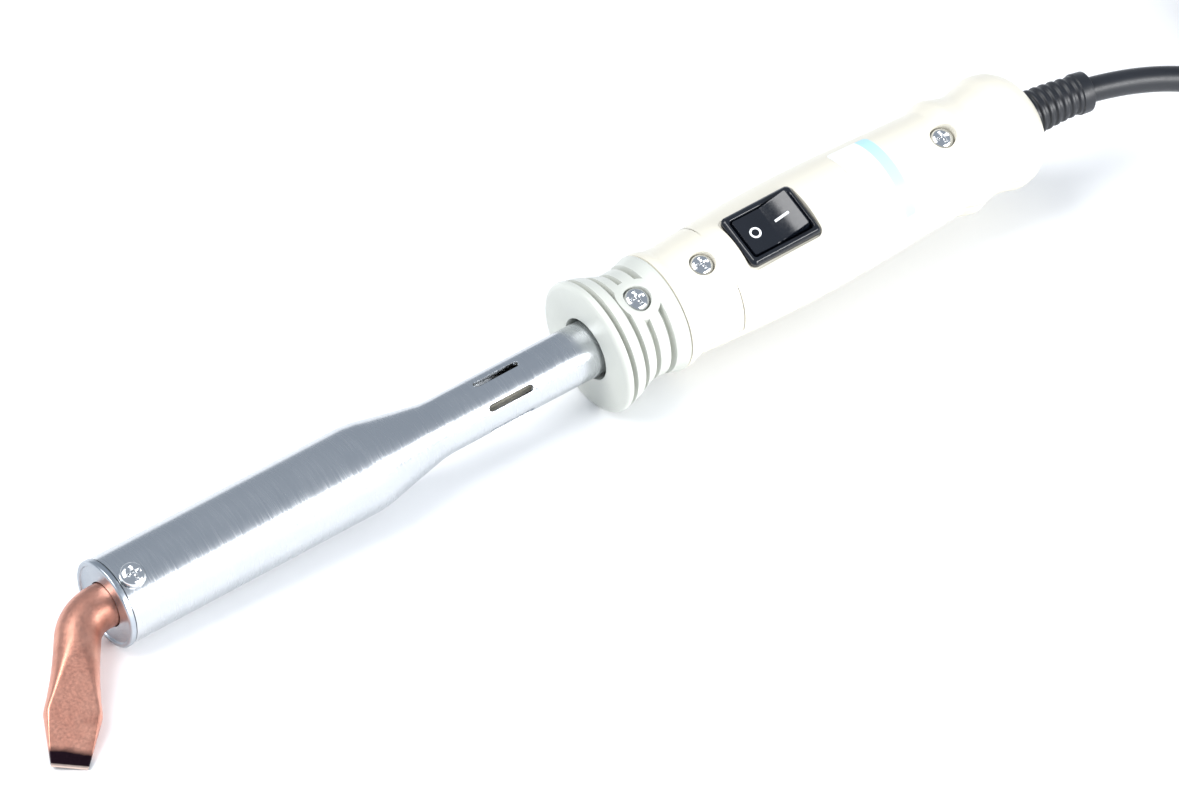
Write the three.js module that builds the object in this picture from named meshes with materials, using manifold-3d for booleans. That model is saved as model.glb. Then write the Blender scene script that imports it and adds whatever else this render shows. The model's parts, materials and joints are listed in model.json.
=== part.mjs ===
// Heavy soldering iron for stained glass, lying on a table. Millimetres, +Z up.
// Most pieces are built in the iron's own frame: +X runs along the barrel from the nose
// face (x = 0) to the cord, +Z is the outward normal of the switch. Angles round the
// barrel ("turn") start at +Z and grow towards -Y, the side that the bit bends to.
import * as THREE from 'three';
import { mergeVertices } from 'three/addons/utils/BufferGeometryUtils.js';
import Module from 'manifold-3d';

const wasm = await Module();
wasm.setup();

// ---- clearances ----
const gap = 0.3; // between touching pieces
const slideFit = 0.3; // round the bit's shank, per side
const screwFit = 0.35; // round every screw shank, per side
const wellFit = 0.35; // round every sunk screw head, per side

// ---- bit ----
const bitRadius = 5.65;
const bitReach = 7.2; // nose face to the point where the two centre lines cross
const bitBendRadius = 12;
const bitBend = degrees(52.7);
const bitTurn = degrees(85); // direction that the leg bends to
const bitLeg = 42; // crossing point to the working edge
const bitEndSpace = 8; // inner end of the shank to the barrel's end
const chiselLength = 32;
const chiselWidest = 14.2; // from the working edge
const chiselHalfWidth = 7.04;
const chiselGrowth = [[0.8, 0.16], [0.6, 0.57]]; // [share of its length, share of its widening]
const edgeHalfWidth = 4.43;
const edgeHalfThickness = 0.5;

// ---- barrel, one drawn tube with the neck ----
const barrelWall = 0.9;
const barrelEnd = 76;
const taperLength = 20.5;
const neckLength = 45.3; // taper to the collar's front face
const neckRadius = 7.1;
const capStep = 0.2; // cap proud of the barrel
const capRim = 1.6;
const capFaceDepth = 0.5; // face sunk in the rim
const capRimWidth = 1.1;
const capEdge = 0.4;
const capSpigot = 8.4;
const bitScrewPlace = 5.4;
const bitScrewTurn = degrees(6.5);
const slotCount = 6;
const slotLength = 13;
const slotWidth = 1.8;
const slotPlace = 18.9; // behind the taper
const slotTurn = degrees(-22);

// ---- heater, layers between the bit and the barrel ----
const formerFit = 0.15; // round the bit's bore
const formerWall = 1.5;
const windingThickness = 0.8;
const windingGroove = 0.45;
const windingTurns = 8;
const windingMargin = 3; // bare end of the former
const micaThickness = 0.8;
const micaSpace = 0.55; // mica to the barrel
const heaterStart = 12;
const heaterEndSpace = 6; // heater to the barrel's end
const insulatorThickness = 3.5;
const insulatorBore = 1.2;
const leadPitch = 12; // between the two leads at the insulator
const leadRadius = 1.1;
const wireRadius = 0.95;

// ---- vented collar ----
const collarLength = 20.7;
const collarBulge = 3.32; // rounded front over the waist
const collarFlangeStep = 1.3; // rear flange over the waist
const collarRimPlace = 1.6; // widest point, behind the front face
const collarHoleSpace = 1.1; // round the neck
const collarCavitySpace = 0.4; // round the bush
const collarFaceThickness = 3;
const grooveCount = 4;
const grooveWidth = 1.5;
const groovePitch = 4.5;
const grooveStart = 2.6; // first groove's middle, behind the front face
const grooveFloorWall = 1.2;
const grooveDepth = 2.2; // at the waist
const bossRadius = 5.8;
const collarScrewPlace = 12.5; // behind the front face
const spigotSpace = 0.8; // round the neck
const spigotWall = 1.5;
const lipDepth = 1.6;
const lipWidth = 1.6;
const bushThickness = 2.9;
const bushLength = 9.2;
const tagThickness = 0.8;
const tagWidth = 2.3;

// ---- handle, two half shells parted on z = 0 ----
const handleLength = 113.3;
const handleWall = 2.4;
const handleFrontWall = 3.2;
const handleRearWall = 4.6;
const frontScrewPlace = 11.1; // behind the handle's front face
const rearScrewPlace = 28.6; // before the handle's rear end
const handleBossRadius = 4.4;
const headDepth = 0.65; // screw heads below the skin
const lipSpace = 1.03; // collar's lip to the handle's wall
// [distance behind the front face, skin over the radius at the lip]
const handleFrontOutline = [
  [0, 0.95], [1.4, 0.87], [3.6, 0.17], [6.4, -0.15], [11, 0.19], [19.5, 0.67], [31, 1.17],
  [42, 1.29], [52.5, 1.07], [64, 0.59],
];
// [distance before the rear end, skin over the radius at the lip]
const handleRearOutline = [
  [39.3, 0.07], [28.7, -0.37], [26.7, 0.32], [24.3, 0.87], [21.7, 0.17], [17.7, -0.75],
  [13.8, -0.23], [9.9, 0.72], [6.5, 0.12], [3.9, -1.33], [1.9, -3.23], [0.5, -5.63],
];

// ---- rocker switch ----
const switchPlace = 31.8; // behind the handle's front face
const bezelLength = 21;
const bezelWidth = 15;
const bezelThickness = 2;
const bezelRise = 1.17; // bezel's top over the radius at the lip
const switchBodyLength = 19;
const switchBodyWidth = 12.8;
const switchBodyDepth = 18.6; // bezel's top to the body's foot
const switchFloor = 2;
const rockerOpeningLength = 17.6;
const rockerOpeningWidth = 11;
const rockerDrop = 2.4; // pivot below the bezel's top
const rockerSwing = degrees(21);
const pivotRadius = 1;
const plungerRadius = 1.1;
const plungerReach = 8.2; // below the rocker's pivot
const leverSize = [13.6, 4.8, 0.8];
const leverTilt = degrees(5);
const bladeSpacing = 6;
const bladeWidth = 6.3;
const bladeThickness = 0.8;
const bladeLength = 7.5; // below the switch body

// ---- screws ----
const largeScrew = { headRadius: 3.2, headHeight: 2.1, shankRadius: 1.6 };
const smallScrew = { headRadius: 2.9, headHeight: 1.8, shankRadius: 1.6 };
const clampScrew = { headRadius: 2.1, headHeight: 1.4, shankRadius: 1.3 };

// ---- label, terminal block, cord clamp ----
const labelStart = 57;
const labelLength = 11.9;
const labelTurns = [degrees(-44), degrees(56)];
const labelThickness = 0.2;
const labelFilm = 0.05; // film of glue under it
const blockStart = 49.2;
const blockSize = [18, 18, 8];
const blockPitch = 6;
const blockBore = 1.5;
const clampPlace = 14.1; // before the handle's rear end
const clampLength = 6;
const clampRoof = 1.65; // above the cord
const clampWeb = 1.05; // between the cord and a screw's hole
const clampEar = 2.4; // outside a screw's axis

// ---- cord, boot and plug ----
const cordRadius = 3.25;
const bootWall = 2.65;
const bootEndWall = 1.7;
const bootFlangeDepth = 2.6;
const bootFlangeWidth = 2.6;
const bootRibs = 6;
const bootRibDepth = 0.55;
const bootRingHeight = 0.35; // ring at the boot's end, proud of the last rib
const bootRingLength = 3.1;
const bootPoints = 3; // points of the cord's route inside the boot
const coilTurnRadius = 32.5; // middle of the turns
const coilColumns = 2;
const coilLayers = 3;
const coilEntryTurn = degrees(-110); // where the cord joins the coil, round its centre
const tieThickness = 0.6;
const tieWidth = 6;
const tieTurn = degrees(-150);
const tieLift = 0.1; // above the table
const plugRadius = 18;
const plugLength = 42;
const plugNotchWidth = 7;
const plugNotchDepth = 2.6;
const earthStripSize = [11.2, 4.4, 1];
const pinRadius = 2.4;
const pinLength = 19;
const pinDepth = 5.5; // inside the plug
const pinSpacing = 19;
// [distance from the cord, radius]
const plugNeckOutline = [[0, 4.6], [10, 5.6], [14, 9], [18, 12.5], [24, 13.4], [28, 15.6]];
const plugFlangeStart = 30;

// The free cord, from the boot to the coil: [behind the handle's rear end, across, share of
// the height between the cord lying on the table and the iron's axis at that end].
const cordLift = 0.35; // underside of the lying cord over the table
const cordLeadRoute = [
  [5.4, -0.1, 1.001], [11.4, -0.5, 0.998], [17.8, -1.1, 0.978], [23.9, -1.8, 0.936],
  [31.9, -3, 0.854], [39.9, -4.6, 0.74], [48.9, -7, 0.574], [58.9, -10.6, 0.378],
  [68.4, -15.8, 0.191], [77.2, -22.4, 0.06], [85, -28.6, 0.006], [93, -32.6, 0],
];
// From the coil to the plug, over the coil: [along, across, height of its underside], from the
// coil's middle.
const cordTailRoute = [
  [-3.7, 29.0, 20.86], [-13.6, 27.8, 22.81], [-23.4, 26.5, 24.81], [-32.6, 22.7, 26.82],
  [-39.8, 16.0, 28.76], [-44.0, 7.1, 30.57], [-44.9, -2.7, 32.20], [-42.1, -12.2, 33.57],
  [-36.1, -20.0, 34.63], [-27.7, -25.2, 35.31], [-18.0, -27.0, 35.55], [-14.0, -27.0, 35.55],
];

// ---- places and sizes that follow from the ones above ----
const formerInner = bitRadius + slideFit + formerFit;
const windingInner = formerInner + formerWall + gap;
const windingOuter = windingInner + windingThickness;
const micaOuter = windingOuter + gap + micaThickness;
const barrelRadius = micaOuter + micaSpace + barrelWall;
const capRadius = barrelRadius + capStep;
const taperEnd = barrelEnd + taperLength;
const slotCentre = taperEnd + slotPlace;
const heaterEnd = barrelEnd - heaterEndSpace;
const bushOuter = neckRadius + gap + bushThickness;
const collarHoleRadius = neckRadius + collarHoleSpace;
const collarCavityRadius = bushOuter + collarCavitySpace;
const grooveFloorRadius = collarCavityRadius + grooveFloorWall;
const spigotBore = neckRadius + spigotSpace;
const spigotRadius = spigotBore + spigotWall;
const lipRadius = spigotRadius + lipDepth;
const gripRadius = lipRadius + lipSpace + handleWall; // handle's skin at the lip
const collarWaistRadius = grooveFloorRadius + grooveDepth;
const collarRadius = collarWaistRadius + collarBulge;
const collarFlangeRadius = collarWaistRadius + collarFlangeStep;
const bezelTop = gripRadius + bezelRise;
const switchBodyFoot = bezelTop - switchBodyDepth;
const collarFront = taperEnd + neckLength;
const collarEnd = collarFront + collarLength;
const handleFront = collarEnd + gap;
const handleEnd = handleFront + handleLength;
const handleScrewPlaces = [frontScrewPlace, handleLength - rearScrewPlace];
const handleOutline = [
  ...handleFrontOutline.map(([distance, over]) => [distance, gripRadius + over]),
  ...handleRearOutline.map(([distance, over]) => [handleLength - distance, gripRadius + over]),
];
const switchX = handleFront + switchPlace;
const rockerPivotZ = bezelTop - rockerDrop;
const leverPivotZ = rockerPivotZ - plungerReach * Math.cos(rockerSwing / 2) - gap - leverSize[2];
const bootRadius = cordRadius + bootWall;
const bootEndRadius = cordRadius + bootEndWall;
const bootStart = handleEnd - handleRearWall - gap - bootFlangeWidth;
const collarScrewX = collarFront + collarScrewPlace;
const bushStart = collarScrewX - bushLength / 2;
const tagStart = bushStart + bushLength + gap;
const neckEnd = tagStart + tagThickness + gap;
const clampX = handleEnd - clampPlace;
const clampHeight = cordRadius + gap + clampRoof;
const clampScrewSpacing = 2 * (cordRadius + gap + clampWeb + gap + clampScrew.shankRadius);
const clampWidth = clampScrewSpacing + 2 * clampEar;
const cordEndX = clampX - clampLength / 2 - 1.5;
const pitch = Math.asin((collarRadius - capRadius) / (collarFront + collarRimPlace));
const axisHeight = capRadius * Math.cos(pitch); // at the nose face
const lyingHeight = cordLift + cordRadius;
const cordDrop = axisHeight + handleEnd * Math.sin(pitch) - lyingHeight;
const leadRoute = cordLeadRoute.map(([behind, across, share]) => [
  handleEnd + behind, across, lyingHeight + share * cordDrop]);
const coilHalfWidth = coilColumns * cordRadius;
const coilLow = tieThickness + tieLift + gap;
const coilHigh = coilLow + coilLayers * 2 * cordRadius;
const coilReach = coilTurnRadius + coilHalfWidth + gap + cordRadius; // to a cord beside it
const coilCentre = onCircle(leadRoute.at(-1), -coilReach, coilEntryTurn);
const tailRoute = cordTailRoute.map(([x, y, low]) => [coilCentre[0] + x, coilCentre[1] + y, low + cordRadius]);

// ---- materials ----
const finishes = {
  copper: finish(0xd98b72, 0.32, 1),
  steel: finish(0xb9bdbf, 0.3, 1),
  chrome: finish(0xd6d8da, 0.15, 1),
  brass: finish(0xc9a35a, 0.3, 1),
  ceramic: finish(0xe8e2d4, 0.7, 0),
  mica: finish(0xa88f62, 0.5, 0),
  nichrome: finish(0x8b8681, 0.45, 1),
  greyPlastic: finish(0xd3d5d3, 0.45, 0),
  beigePlastic: finish(0xdedacb, 0.42, 0),
  blackPlastic: finish(0x0d0e12, 0.25, 0),
  rubber: finish(0x101216, 0.5, 0),
  label: finish(0xe6f3f5, 0.5, 0),
  brownWire: finish(0x6b3a22, 0.5, 0),
  blueWire: finish(0x2a5fa8, 0.5, 0),
  earthWire: finish(0x8ea832, 0.5, 0),
  sleeve: finish(0xddd8c8, 0.8, 0),
};

function degrees(value) {
  return THREE.MathUtils.degToRad(value);
}

function onCircle([x, y], radius, turn) {
  return [x + radius * Math.cos(turn), y + radius * Math.sin(turn)];
}

function finish(color, roughness, metalness) {
  return new THREE.MeshStandardMaterial({ color, roughness, metalness });
}

// ---- geometry helpers ----

// Merges shared vertices, drops collapsed triangles and turns the faces outwards.
function closed(geometry) {
  const bare = geometry.clone();
  bare.deleteAttribute('normal');
  bare.deleteAttribute('uv');
  bare.clearGroups();
  const merged = mergeVertices(bare, 1e-4);
  const corners = merged.getIndex().array;
  const kept = [];
  for (let i = 0; i < corners.length; i += 3) {
    const [a, b, c] = [corners[i], corners[i + 1], corners[i + 2]];
    if (a !== b && b !== c && c !== a) kept.push(a, b, c);
  }
  if (signedVolume(merged, kept) < 0) kept.reverse();
  merged.setIndex(kept);
  return merged;
}

function signedVolume(geometry, corners) {
  const place = geometry.getAttribute('position');
  const [p, q, r] = [new THREE.Vector3(), new THREE.Vector3(), new THREE.Vector3()];
  let sum = 0;
  for (let i = 0; i < corners.length; i += 3) {
    p.fromBufferAttribute(place, corners[i]);
    q.fromBufferAttribute(place, corners[i + 1]);
    r.fromBufferAttribute(place, corners[i + 2]);
    sum += p.dot(q.cross(r)) / 6;
  }
  return sum;
}

function toSolid(geometry) {
  const whole = closed(geometry);
  return new wasm.Manifold(new wasm.Mesh({
    numProp: 3,
    vertProperties: new Float32Array(whole.getAttribute('position').array),
    triVerts: new Uint32Array(whole.getIndex().array),
  }));
}

function fromSolid(solid) {
  const mesh = solid.getMesh();
  const geometry = new THREE.BufferGeometry();
  geometry.setAttribute('position', new THREE.BufferAttribute(mesh.vertProperties.slice(), 3));
  geometry.setIndex([...mesh.triVerts]);
  return geometry;
}

function combine(method, first, others) {
  let result = toSolid(first);
  for (const other of others) result = result[method](toSolid(other));
  return fromSolid(result);
}

const cut = (base, ...tools) => combine('subtract', base, tools);
const join = (base, ...others) => combine('add', base, others);
const overlap = (base, other) => combine('intersect', base, [other]);

// Turns an outline of [x, radius] round the iron's axis.
function turned(outline, segments = 24, close = true) {
  const points = outline.map(([x, radius]) => new THREE.Vector2(radius, x));
  if (close) points.push(points[0].clone());
  return new THREE.LatheGeometry(points, segments).rotateZ(-Math.PI / 2);
}

function tube(start, end, innerRadius, outerRadius, segments = 20) {
  const outline = [[start, innerRadius], [start, outerRadius], [end, outerRadius], [end, innerRadius]];
  return turned(outline, segments);
}

function box(from, to) {
  const size = to.map((value, i) => value - from[i]);
  const middle = to.map((value, i) => (value + from[i]) / 2);
  return new THREE.BoxGeometry(...size).translate(...middle);
}

// Moves a geometry that stands along +Z at the origin onto the barrel, at x and turn.
function onBarrel(geometry, x, turn = 0) {
  return geometry.rotateX(turn).translate(x, 0, 0);
}

function pin(radius, bottom, top, segments = 16) {
  return new THREE.CylinderGeometry(radius, radius, top - bottom, segments)
    .rotateX(Math.PI / 2)
    .translate(0, 0, (top + bottom) / 2);
}

// A closed skin over rings of points, each ring round and convex.
function loft(rings) {
  const points = rings.flat();
  const count = rings[0].length;
  const corners = [];
  for (let i = 0; i + 1 < rings.length; i += 1) {
    for (let j = 0; j < count; j += 1) {
      const next = (j + 1) % count;
      const [a, b] = [i * count + j, i * count + next];
      const [c, d] = [a + count, b + count];
      corners.push(a, b, d, a, d, c);
    }
  }
  for (const ring of [0, rings.length - 1]) {
    const middle = points.length;
    const sum = rings[ring].reduce((total, point) => total.add(point), new THREE.Vector3());
    points.push(sum.divideScalar(count));
    for (let j = 0; j < count; j += 1) {
      const [a, b] = [ring * count + j, ring * count + (j + 1) % count];
      corners.push(...(ring === 0 ? [middle, b, a] : [middle, a, b]));
    }
  }
  const geometry = new THREE.BufferGeometry().setFromPoints(points);
  geometry.setIndex(corners);
  return geometry;
}

function vectors(points) {
  return points.map((point) => new THREE.Vector3(...point));
}

// A round rod along a smooth curve. An arc takes two sides for each of its segments.
function rod(points, radius, steps, sides = 8) {
  const section = new THREE.Shape().absarc(0, 0, radius, 0, 2 * Math.PI);
  const extrudePath = new THREE.CatmullRomCurve3(vectors(points), false, 'centripetal');
  return new THREE.ExtrudeGeometry(section, { steps, extrudePath, curveSegments: sides / 2 });
}

// The radius of the handle's skin, behind its front face.
function handleRadiusAt(distance) {
  const after = handleOutline.findIndex(([x]) => x >= distance);
  const [x0, r0] = handleOutline[Math.max(after - 1, 0)];
  const [x1, r1] = handleOutline[after];
  return x1 === x0 ? r0 : r0 + ((r1 - r0) * (distance - x0)) / (x1 - x0);
}

// Pan head screw along +Z, with the underside of its head at z = 0 and a cross recess.
function panScrew({ headRadius, headHeight, shankRadius }, shankLength) {
  const crown = [[0, -shankLength], [shankRadius, -shankLength], [shankRadius, 0], [headRadius, 0],
    [headRadius, headHeight * 0.5], [headRadius * 0.88, headHeight * 0.85],
    [headRadius * 0.6, headHeight], [0, headHeight]];
  const body = new THREE.LatheGeometry(crown.map(([r, z]) => new THREE.Vector2(r, z)), 16)
    .rotateX(Math.PI / 2);
  const arm = headRadius * 0.56;
  const half = headRadius * 0.13;
  const floor = headHeight * 0.4;
  const recess = join(
    box([-arm, -half, floor], [arm, half, headHeight + 1]),
    box([-half, -arm, floor], [half, arm, headHeight + 1]),
  );
  return cut(body, recess);
}

// ---- pieces ----

// The bit: shank, bend, leg and chisel, skinned over rings along its centre line.
function copperBit() {
  const side = new THREE.Vector3(0, -Math.sin(bitTurn), Math.cos(bitTurn));
  const forward = new THREE.Vector3(-1, 0, 0);
  const flat = new THREE.Vector3().crossVectors(forward, side);
  const along = (angle) => forward.clone().multiplyScalar(Math.cos(angle))
    .addScaledVector(side, Math.sin(angle));
  const across = (angle) => forward.clone().multiplyScalar(Math.sin(angle))
    .addScaledVector(side, -Math.cos(angle));
  const ring = (middle, angle, halfWidth, halfThickness, sides = 20) => {
    const points = [];
    for (let j = 0; j < sides; j += 1) {
      const turn = (2 * Math.PI * (j + 0.5)) / sides;
      const height = THREE.MathUtils.clamp(bitRadius * Math.sin(turn), -halfThickness, halfThickness);
      points.push(middle.clone().addScaledVector(across(angle), halfWidth * Math.cos(turn))
        .addScaledVector(flat, height));
    }
    return points;
  };
  const tangent = bitBendRadius * Math.tan(bitBend / 2);
  const crossing = new THREE.Vector3(-bitReach, 0, 0);
  const bendStart = crossing.clone().addScaledVector(forward, -tangent);
  const centre = bendStart.clone().addScaledVector(side, bitBendRadius);
  const rings = [
    ring(new THREE.Vector3(barrelEnd - bitEndSpace, 0, 0), 0, bitRadius, bitRadius),
    ring(bendStart, 0, bitRadius, bitRadius),
  ];
  const bendSteps = 7;
  for (let i = 1; i <= bendSteps; i += 1) {
    const angle = (bitBend * i) / bendSteps;
    rings.push(ring(centre.clone().addScaledVector(across(angle), bitBendRadius), angle,
      bitRadius, bitRadius));
  }
  const growing = chiselGrowth.map(([share, widening]) => [
    chiselLength * share, THREE.MathUtils.lerp(bitRadius, chiselHalfWidth, widening)]);
  for (const [left, halfWidth] of [[chiselLength, bitRadius], ...growing,
    [chiselWidest, chiselHalfWidth], [0, edgeHalfWidth]]) {
    const thickness = THREE.MathUtils.lerp(edgeHalfThickness, bitRadius, left / chiselLength);
    const middle = crossing.clone().addScaledVector(along(bitBend), bitLeg - left);
    rings.push(ring(middle, bitBend, halfWidth, thickness));
  }
  return loft(rings);
}

function bitScrewHole(top) {
  return onBarrel(pin(largeScrew.shankRadius + screwFit, bitRadius, top), bitScrewPlace, bitScrewTurn);
}

function barrelCap() {
  const bore = bitRadius + slideFit;
  const spigot = barrelRadius - barrelWall - gap;
  const outline = [[capFaceDepth, bore], [capFaceDepth, capRadius - capRimWidth - capEdge],
    [0, capRadius - capRimWidth], [0, capRadius - capEdge], [capEdge, capRadius], [capRim, capRadius],
    [capRim, spigot], [capRim + capSpigot, spigot], [capRim + capSpigot, bore]];
  return cut(turned(outline), bitScrewHole(barrelRadius + 3));
}

function barrelTube() {
  const start = capRim + gap;
  const inner = (radius) => radius - barrelWall;
  const outline = [[start, barrelRadius], [barrelEnd - 2, barrelRadius],
    [barrelEnd + 1, barrelRadius - 0.35], [taperEnd - 1.5, neckRadius + 0.35],
    [taperEnd + 1.5, neckRadius], [neckEnd, neckRadius], [neckEnd, inner(neckRadius)],
    [taperEnd + 1.2, inner(neckRadius)], [barrelEnd + 0.6, inner(barrelRadius) - 0.35],
    [barrelEnd - 2.4, inner(barrelRadius)], [start, inner(barrelRadius)]];
  const slots = [];
  for (let i = 0; i < slotCount; i += 1) {
    slots.push(onBarrel(neckSlot(), slotCentre, slotTurn + (2 * Math.PI * i) / slotCount));
  }
  return cut(turned(outline), bitScrewHole(barrelRadius + 3), ...slots);
}

// A slot with round ends, standing along +Z from inside the neck to outside it.
function neckSlot() {
  const half = slotLength / 2 - slotWidth / 2;
  const outline = new THREE.Shape();
  outline.absarc(half, 0, slotWidth / 2, -Math.PI / 2, Math.PI / 2);
  outline.absarc(-half, 0, slotWidth / 2, Math.PI / 2, (3 * Math.PI) / 2);
  return new THREE.ExtrudeGeometry(outline, { depth: 6, bevelEnabled: false, curveSegments: 4 })
    .translate(0, 0, neckRadius - barrelWall - 2);
}

function bitScrew() {
  const seat = barrelRadius + gap;
  return onBarrel(panScrew(largeScrew, seat - bitRadius - gap).translate(0, 0, seat), bitScrewPlace,
    bitScrewTurn);
}

function heaterPieces() {
  const start = heaterStart + windingMargin;
  const end = heaterEnd - windingMargin;
  const pitch = (end - start) / windingTurns;
  const winding = [[start, windingInner]];
  for (let i = 0; i < windingTurns; i += 1) {
    const x = start + i * pitch;
    winding.push([x, windingOuter - windingGroove], [x + pitch / 2, windingOuter]);
  }
  winding.push([end, windingOuter - windingGroove], [end, windingInner]);
  const discStart = heaterEnd + 1;
  const discEnd = discStart + insulatorThickness;
  const disc = tube(discStart, discEnd, insulatorBore, barrelRadius - barrelWall - gap, 24);
  const hole = leadRadius + gap;
  const holes = [-1, 1].map((way) => turned(
    [[discStart - 1, 0], [discStart - 1, hole], [discEnd + 1, hole], [discEnd + 1, 0]],
    10, false,
  ).translate(0, (way * leadPitch) / 2, 0));
  return {
    former: tube(heaterStart, heaterEnd, formerInner, formerInner + formerWall),
    winding: turned(winding, 16),
    mica: tube(heaterStart + 1, heaterEnd - 1, micaOuter - micaThickness, micaOuter),
    disc: cut(disc, ...holes),
    leadStart: discStart + 0.6,
  };
}

function neckBush() {
  const hole = onBarrel(pin(largeScrew.shankRadius + screwFit, neckRadius, bushOuter + 3), collarScrewX);
  return cut(tube(bushStart, bushStart + bushLength, neckRadius + gap, bushOuter, 24), hole);
}

function earthTag() {
  const inner = neckRadius + gap;
  return tube(tagStart, tagStart + tagThickness, inner, inner + tagWidth, 24);
}

// Collar: rounded front disc, hollow waist and rear flange, with grooves that stop at
// the screw boss, and a lipped spigot that the handle shells grip.
function ventCollar() {
  const at = (distance) => collarFront + distance;
  const lipStart = handleFront + handleFrontWall + gap;
  const bulge = collarRadius - collarWaistRadius;
  const shoulder = [[3.4, 0.87], [5.6, 0.7], [7.4, 0.48], [9.2, 0.25], [11, 0.08], [12.6, 0]]
    .map(([distance, share]) => [at(distance), collarWaistRadius + bulge * share]);
  const outline = [[at(0), collarHoleRadius], [at(0), collarRadius - 1.5], [at(0.35), collarRadius - 0.6],
    [at(0.9), collarRadius - 0.15], [at(collarRimPlace), collarRadius], ...shoulder,
    [at(15), collarWaistRadius + 0.05], [at(17.2), collarWaistRadius + 0.45],
    [at(19.2), collarFlangeRadius - 0.3], [at(20.2), collarFlangeRadius],
    [collarEnd, collarFlangeRadius], [collarEnd, spigotRadius], [lipStart, spigotRadius],
    [lipStart, lipRadius], [lipStart + lipWidth, lipRadius], [lipStart + lipWidth, spigotBore],
    [neckEnd + gap, spigotBore], [neckEnd + gap, collarCavityRadius],
    [at(collarFaceThickness), collarCavityRadius], [at(collarFaceThickness), collarHoleRadius]];
  const boss = onBarrel(pin(bossRadius, 0, collarRadius + 4, 20), collarScrewX);
  const grooves = [];
  for (let i = 0; i < grooveCount; i += 1) {
    const middle = at(grooveStart + i * groovePitch);
    const ring = tube(middle - grooveWidth / 2, middle + grooveWidth / 2, grooveFloorRadius,
      collarRadius + 3, 24);
    grooves.push(Math.abs(middle - collarScrewX) < bossRadius ? cut(ring, boss) : ring);
  }
  const well = onBarrel(pin(largeScrew.headRadius + wellFit, grooveFloorRadius, collarRadius), collarScrewX);
  const hole = onBarrel(pin(largeScrew.shankRadius + screwFit, 5, collarRadius), collarScrewX);
  return cut(turned(outline), ...grooves, well, hole);
}

function collarScrew() {
  const seat = grooveFloorRadius + gap;
  return onBarrel(panScrew(largeScrew, seat - neckRadius - 2 * gap).translate(0, 0, seat), collarScrewX);
}

// One handle shell, whole round, before it is parted.
function handleSkin() {
  const outer = handleOutline.map(([distance, radius]) => [handleFront + distance, radius]);
  outer.push([handleEnd, bootRadius + gap + 1]);
  const cavityStart = handleFrontWall;
  const cavityEnd = handleLength - handleRearWall;
  const inner = handleOutline.filter(([distance]) => distance > cavityStart && distance < cavityEnd)
    .map(([distance, radius]) => [handleFront + distance, radius - handleWall]).reverse();
  const frontBore = spigotRadius + gap;
  const rearBore = bootRadius + gap;
  return turned([[handleFront, frontBore], ...outer, [handleEnd, rearBore],
    [handleFront + cavityEnd, rearBore],
    [handleFront + cavityEnd, handleRadiusAt(cavityEnd) - handleWall], ...inner,
    [handleFront + cavityStart, handleRadiusAt(cavityStart) - handleWall],
    [handleFront + cavityStart, frontBore]]);
}

// Keeps what is inside the middle of the handle's wall, so that bosses end in the wall.
function withinHandle(geometry) {
  const core = handleOutline.map(([distance, radius]) => [handleFront + distance, radius - handleWall / 2]);
  return overlap(geometry, turned([[handleFront, 0], ...core, [handleEnd - 1, 0]], 24, false));
}

// The half on one side of the parting plane: way = 1 is the switch side.
function handleHalf(way) {
  const reach = 40;
  const bottom = way > 0 ? gap / 2 : -reach;
  const top = way > 0 ? reach : -gap / 2;
  const half = box([handleFront - 5, -reach, bottom], [handleEnd + 5, reach, top]);
  return overlap(handleSkin(), half);
}

function screwSeat(place) {
  return handleRadiusAt(place) - smallScrew.headHeight - headDepth;
}

function handleUpper() {
  const bosses = [];
  const tools = [];
  for (const place of handleScrewPlaces) {
    const x = handleFront + place;
    const seat = screwSeat(place);
    bosses.push(onBarrel(pin(handleBossRadius, gap / 2, seat + 0.4, 20), x));
    tools.push(onBarrel(pin(smallScrew.headRadius + wellFit, seat, seat + 9, 20), x));
    tools.push(onBarrel(pin(smallScrew.shankRadius + screwFit, -1, seat + 1), x));
  }
  const seatZ = bezelTop - bezelThickness - gap;
  const pad = box([switchX - bezelLength / 2 - 1.5, -bezelWidth / 2 - 0.2, seatZ - 2.2],
    [switchX + bezelLength / 2 + 1.5, bezelWidth / 2 + 0.2, seatZ + 0.5]);
  const pocket = box([switchX - bezelLength / 2 - gap, -bezelWidth / 2 - gap, seatZ],
    [switchX + bezelLength / 2 + gap, bezelWidth / 2 + gap, seatZ + 9]);
  const opening = box([switchX - switchBodyLength / 2 - gap, -switchBodyWidth / 2 - gap, 1],
    [switchX + switchBodyLength / 2 + gap, switchBodyWidth / 2 + gap, seatZ + 9]);
  return cut(join(handleHalf(1), ...bosses, pad), ...tools, pocket, opening);
}

function handleLower() {
  const bosses = [];
  const tools = [];
  for (const place of handleScrewPlaces) {
    const x = handleFront + place;
    const depth = handleRadiusAt(place);
    bosses.push(withinHandle(onBarrel(pin(handleBossRadius, -depth, -gap / 2, 20), x)));
    tools.push(onBarrel(pin(smallScrew.shankRadius + screwFit, -depth + 1.5 * handleWall, 1), x));
  }
  const floor = -handleRadiusAt(handleLength - clampPlace);
  const cradle = withinHandle(box([clampX - clampLength / 2, -clampWidth / 2, floor],
    [clampX + clampLength / 2, clampWidth / 2, -gap]));
  const channel = cordRadius + gap;
  tools.push(box([clampX - clampLength, -channel, -channel], [clampX + clampLength, channel, 2]));
  for (const way of [-1, 1]) {
    tools.push(pin(clampScrew.shankRadius + gap, -7, 1, 12)
      .translate(clampX, (way * clampScrewSpacing) / 2, 0));
  }
  return cut(join(handleHalf(-1), ...bosses, cradle), ...tools);
}

function handleScrew(place) {
  const seat = screwSeat(place) + gap;
  return onBarrel(panScrew(smallScrew, seat + 7).translate(0, 0, seat), handleFront + place);
}

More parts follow.
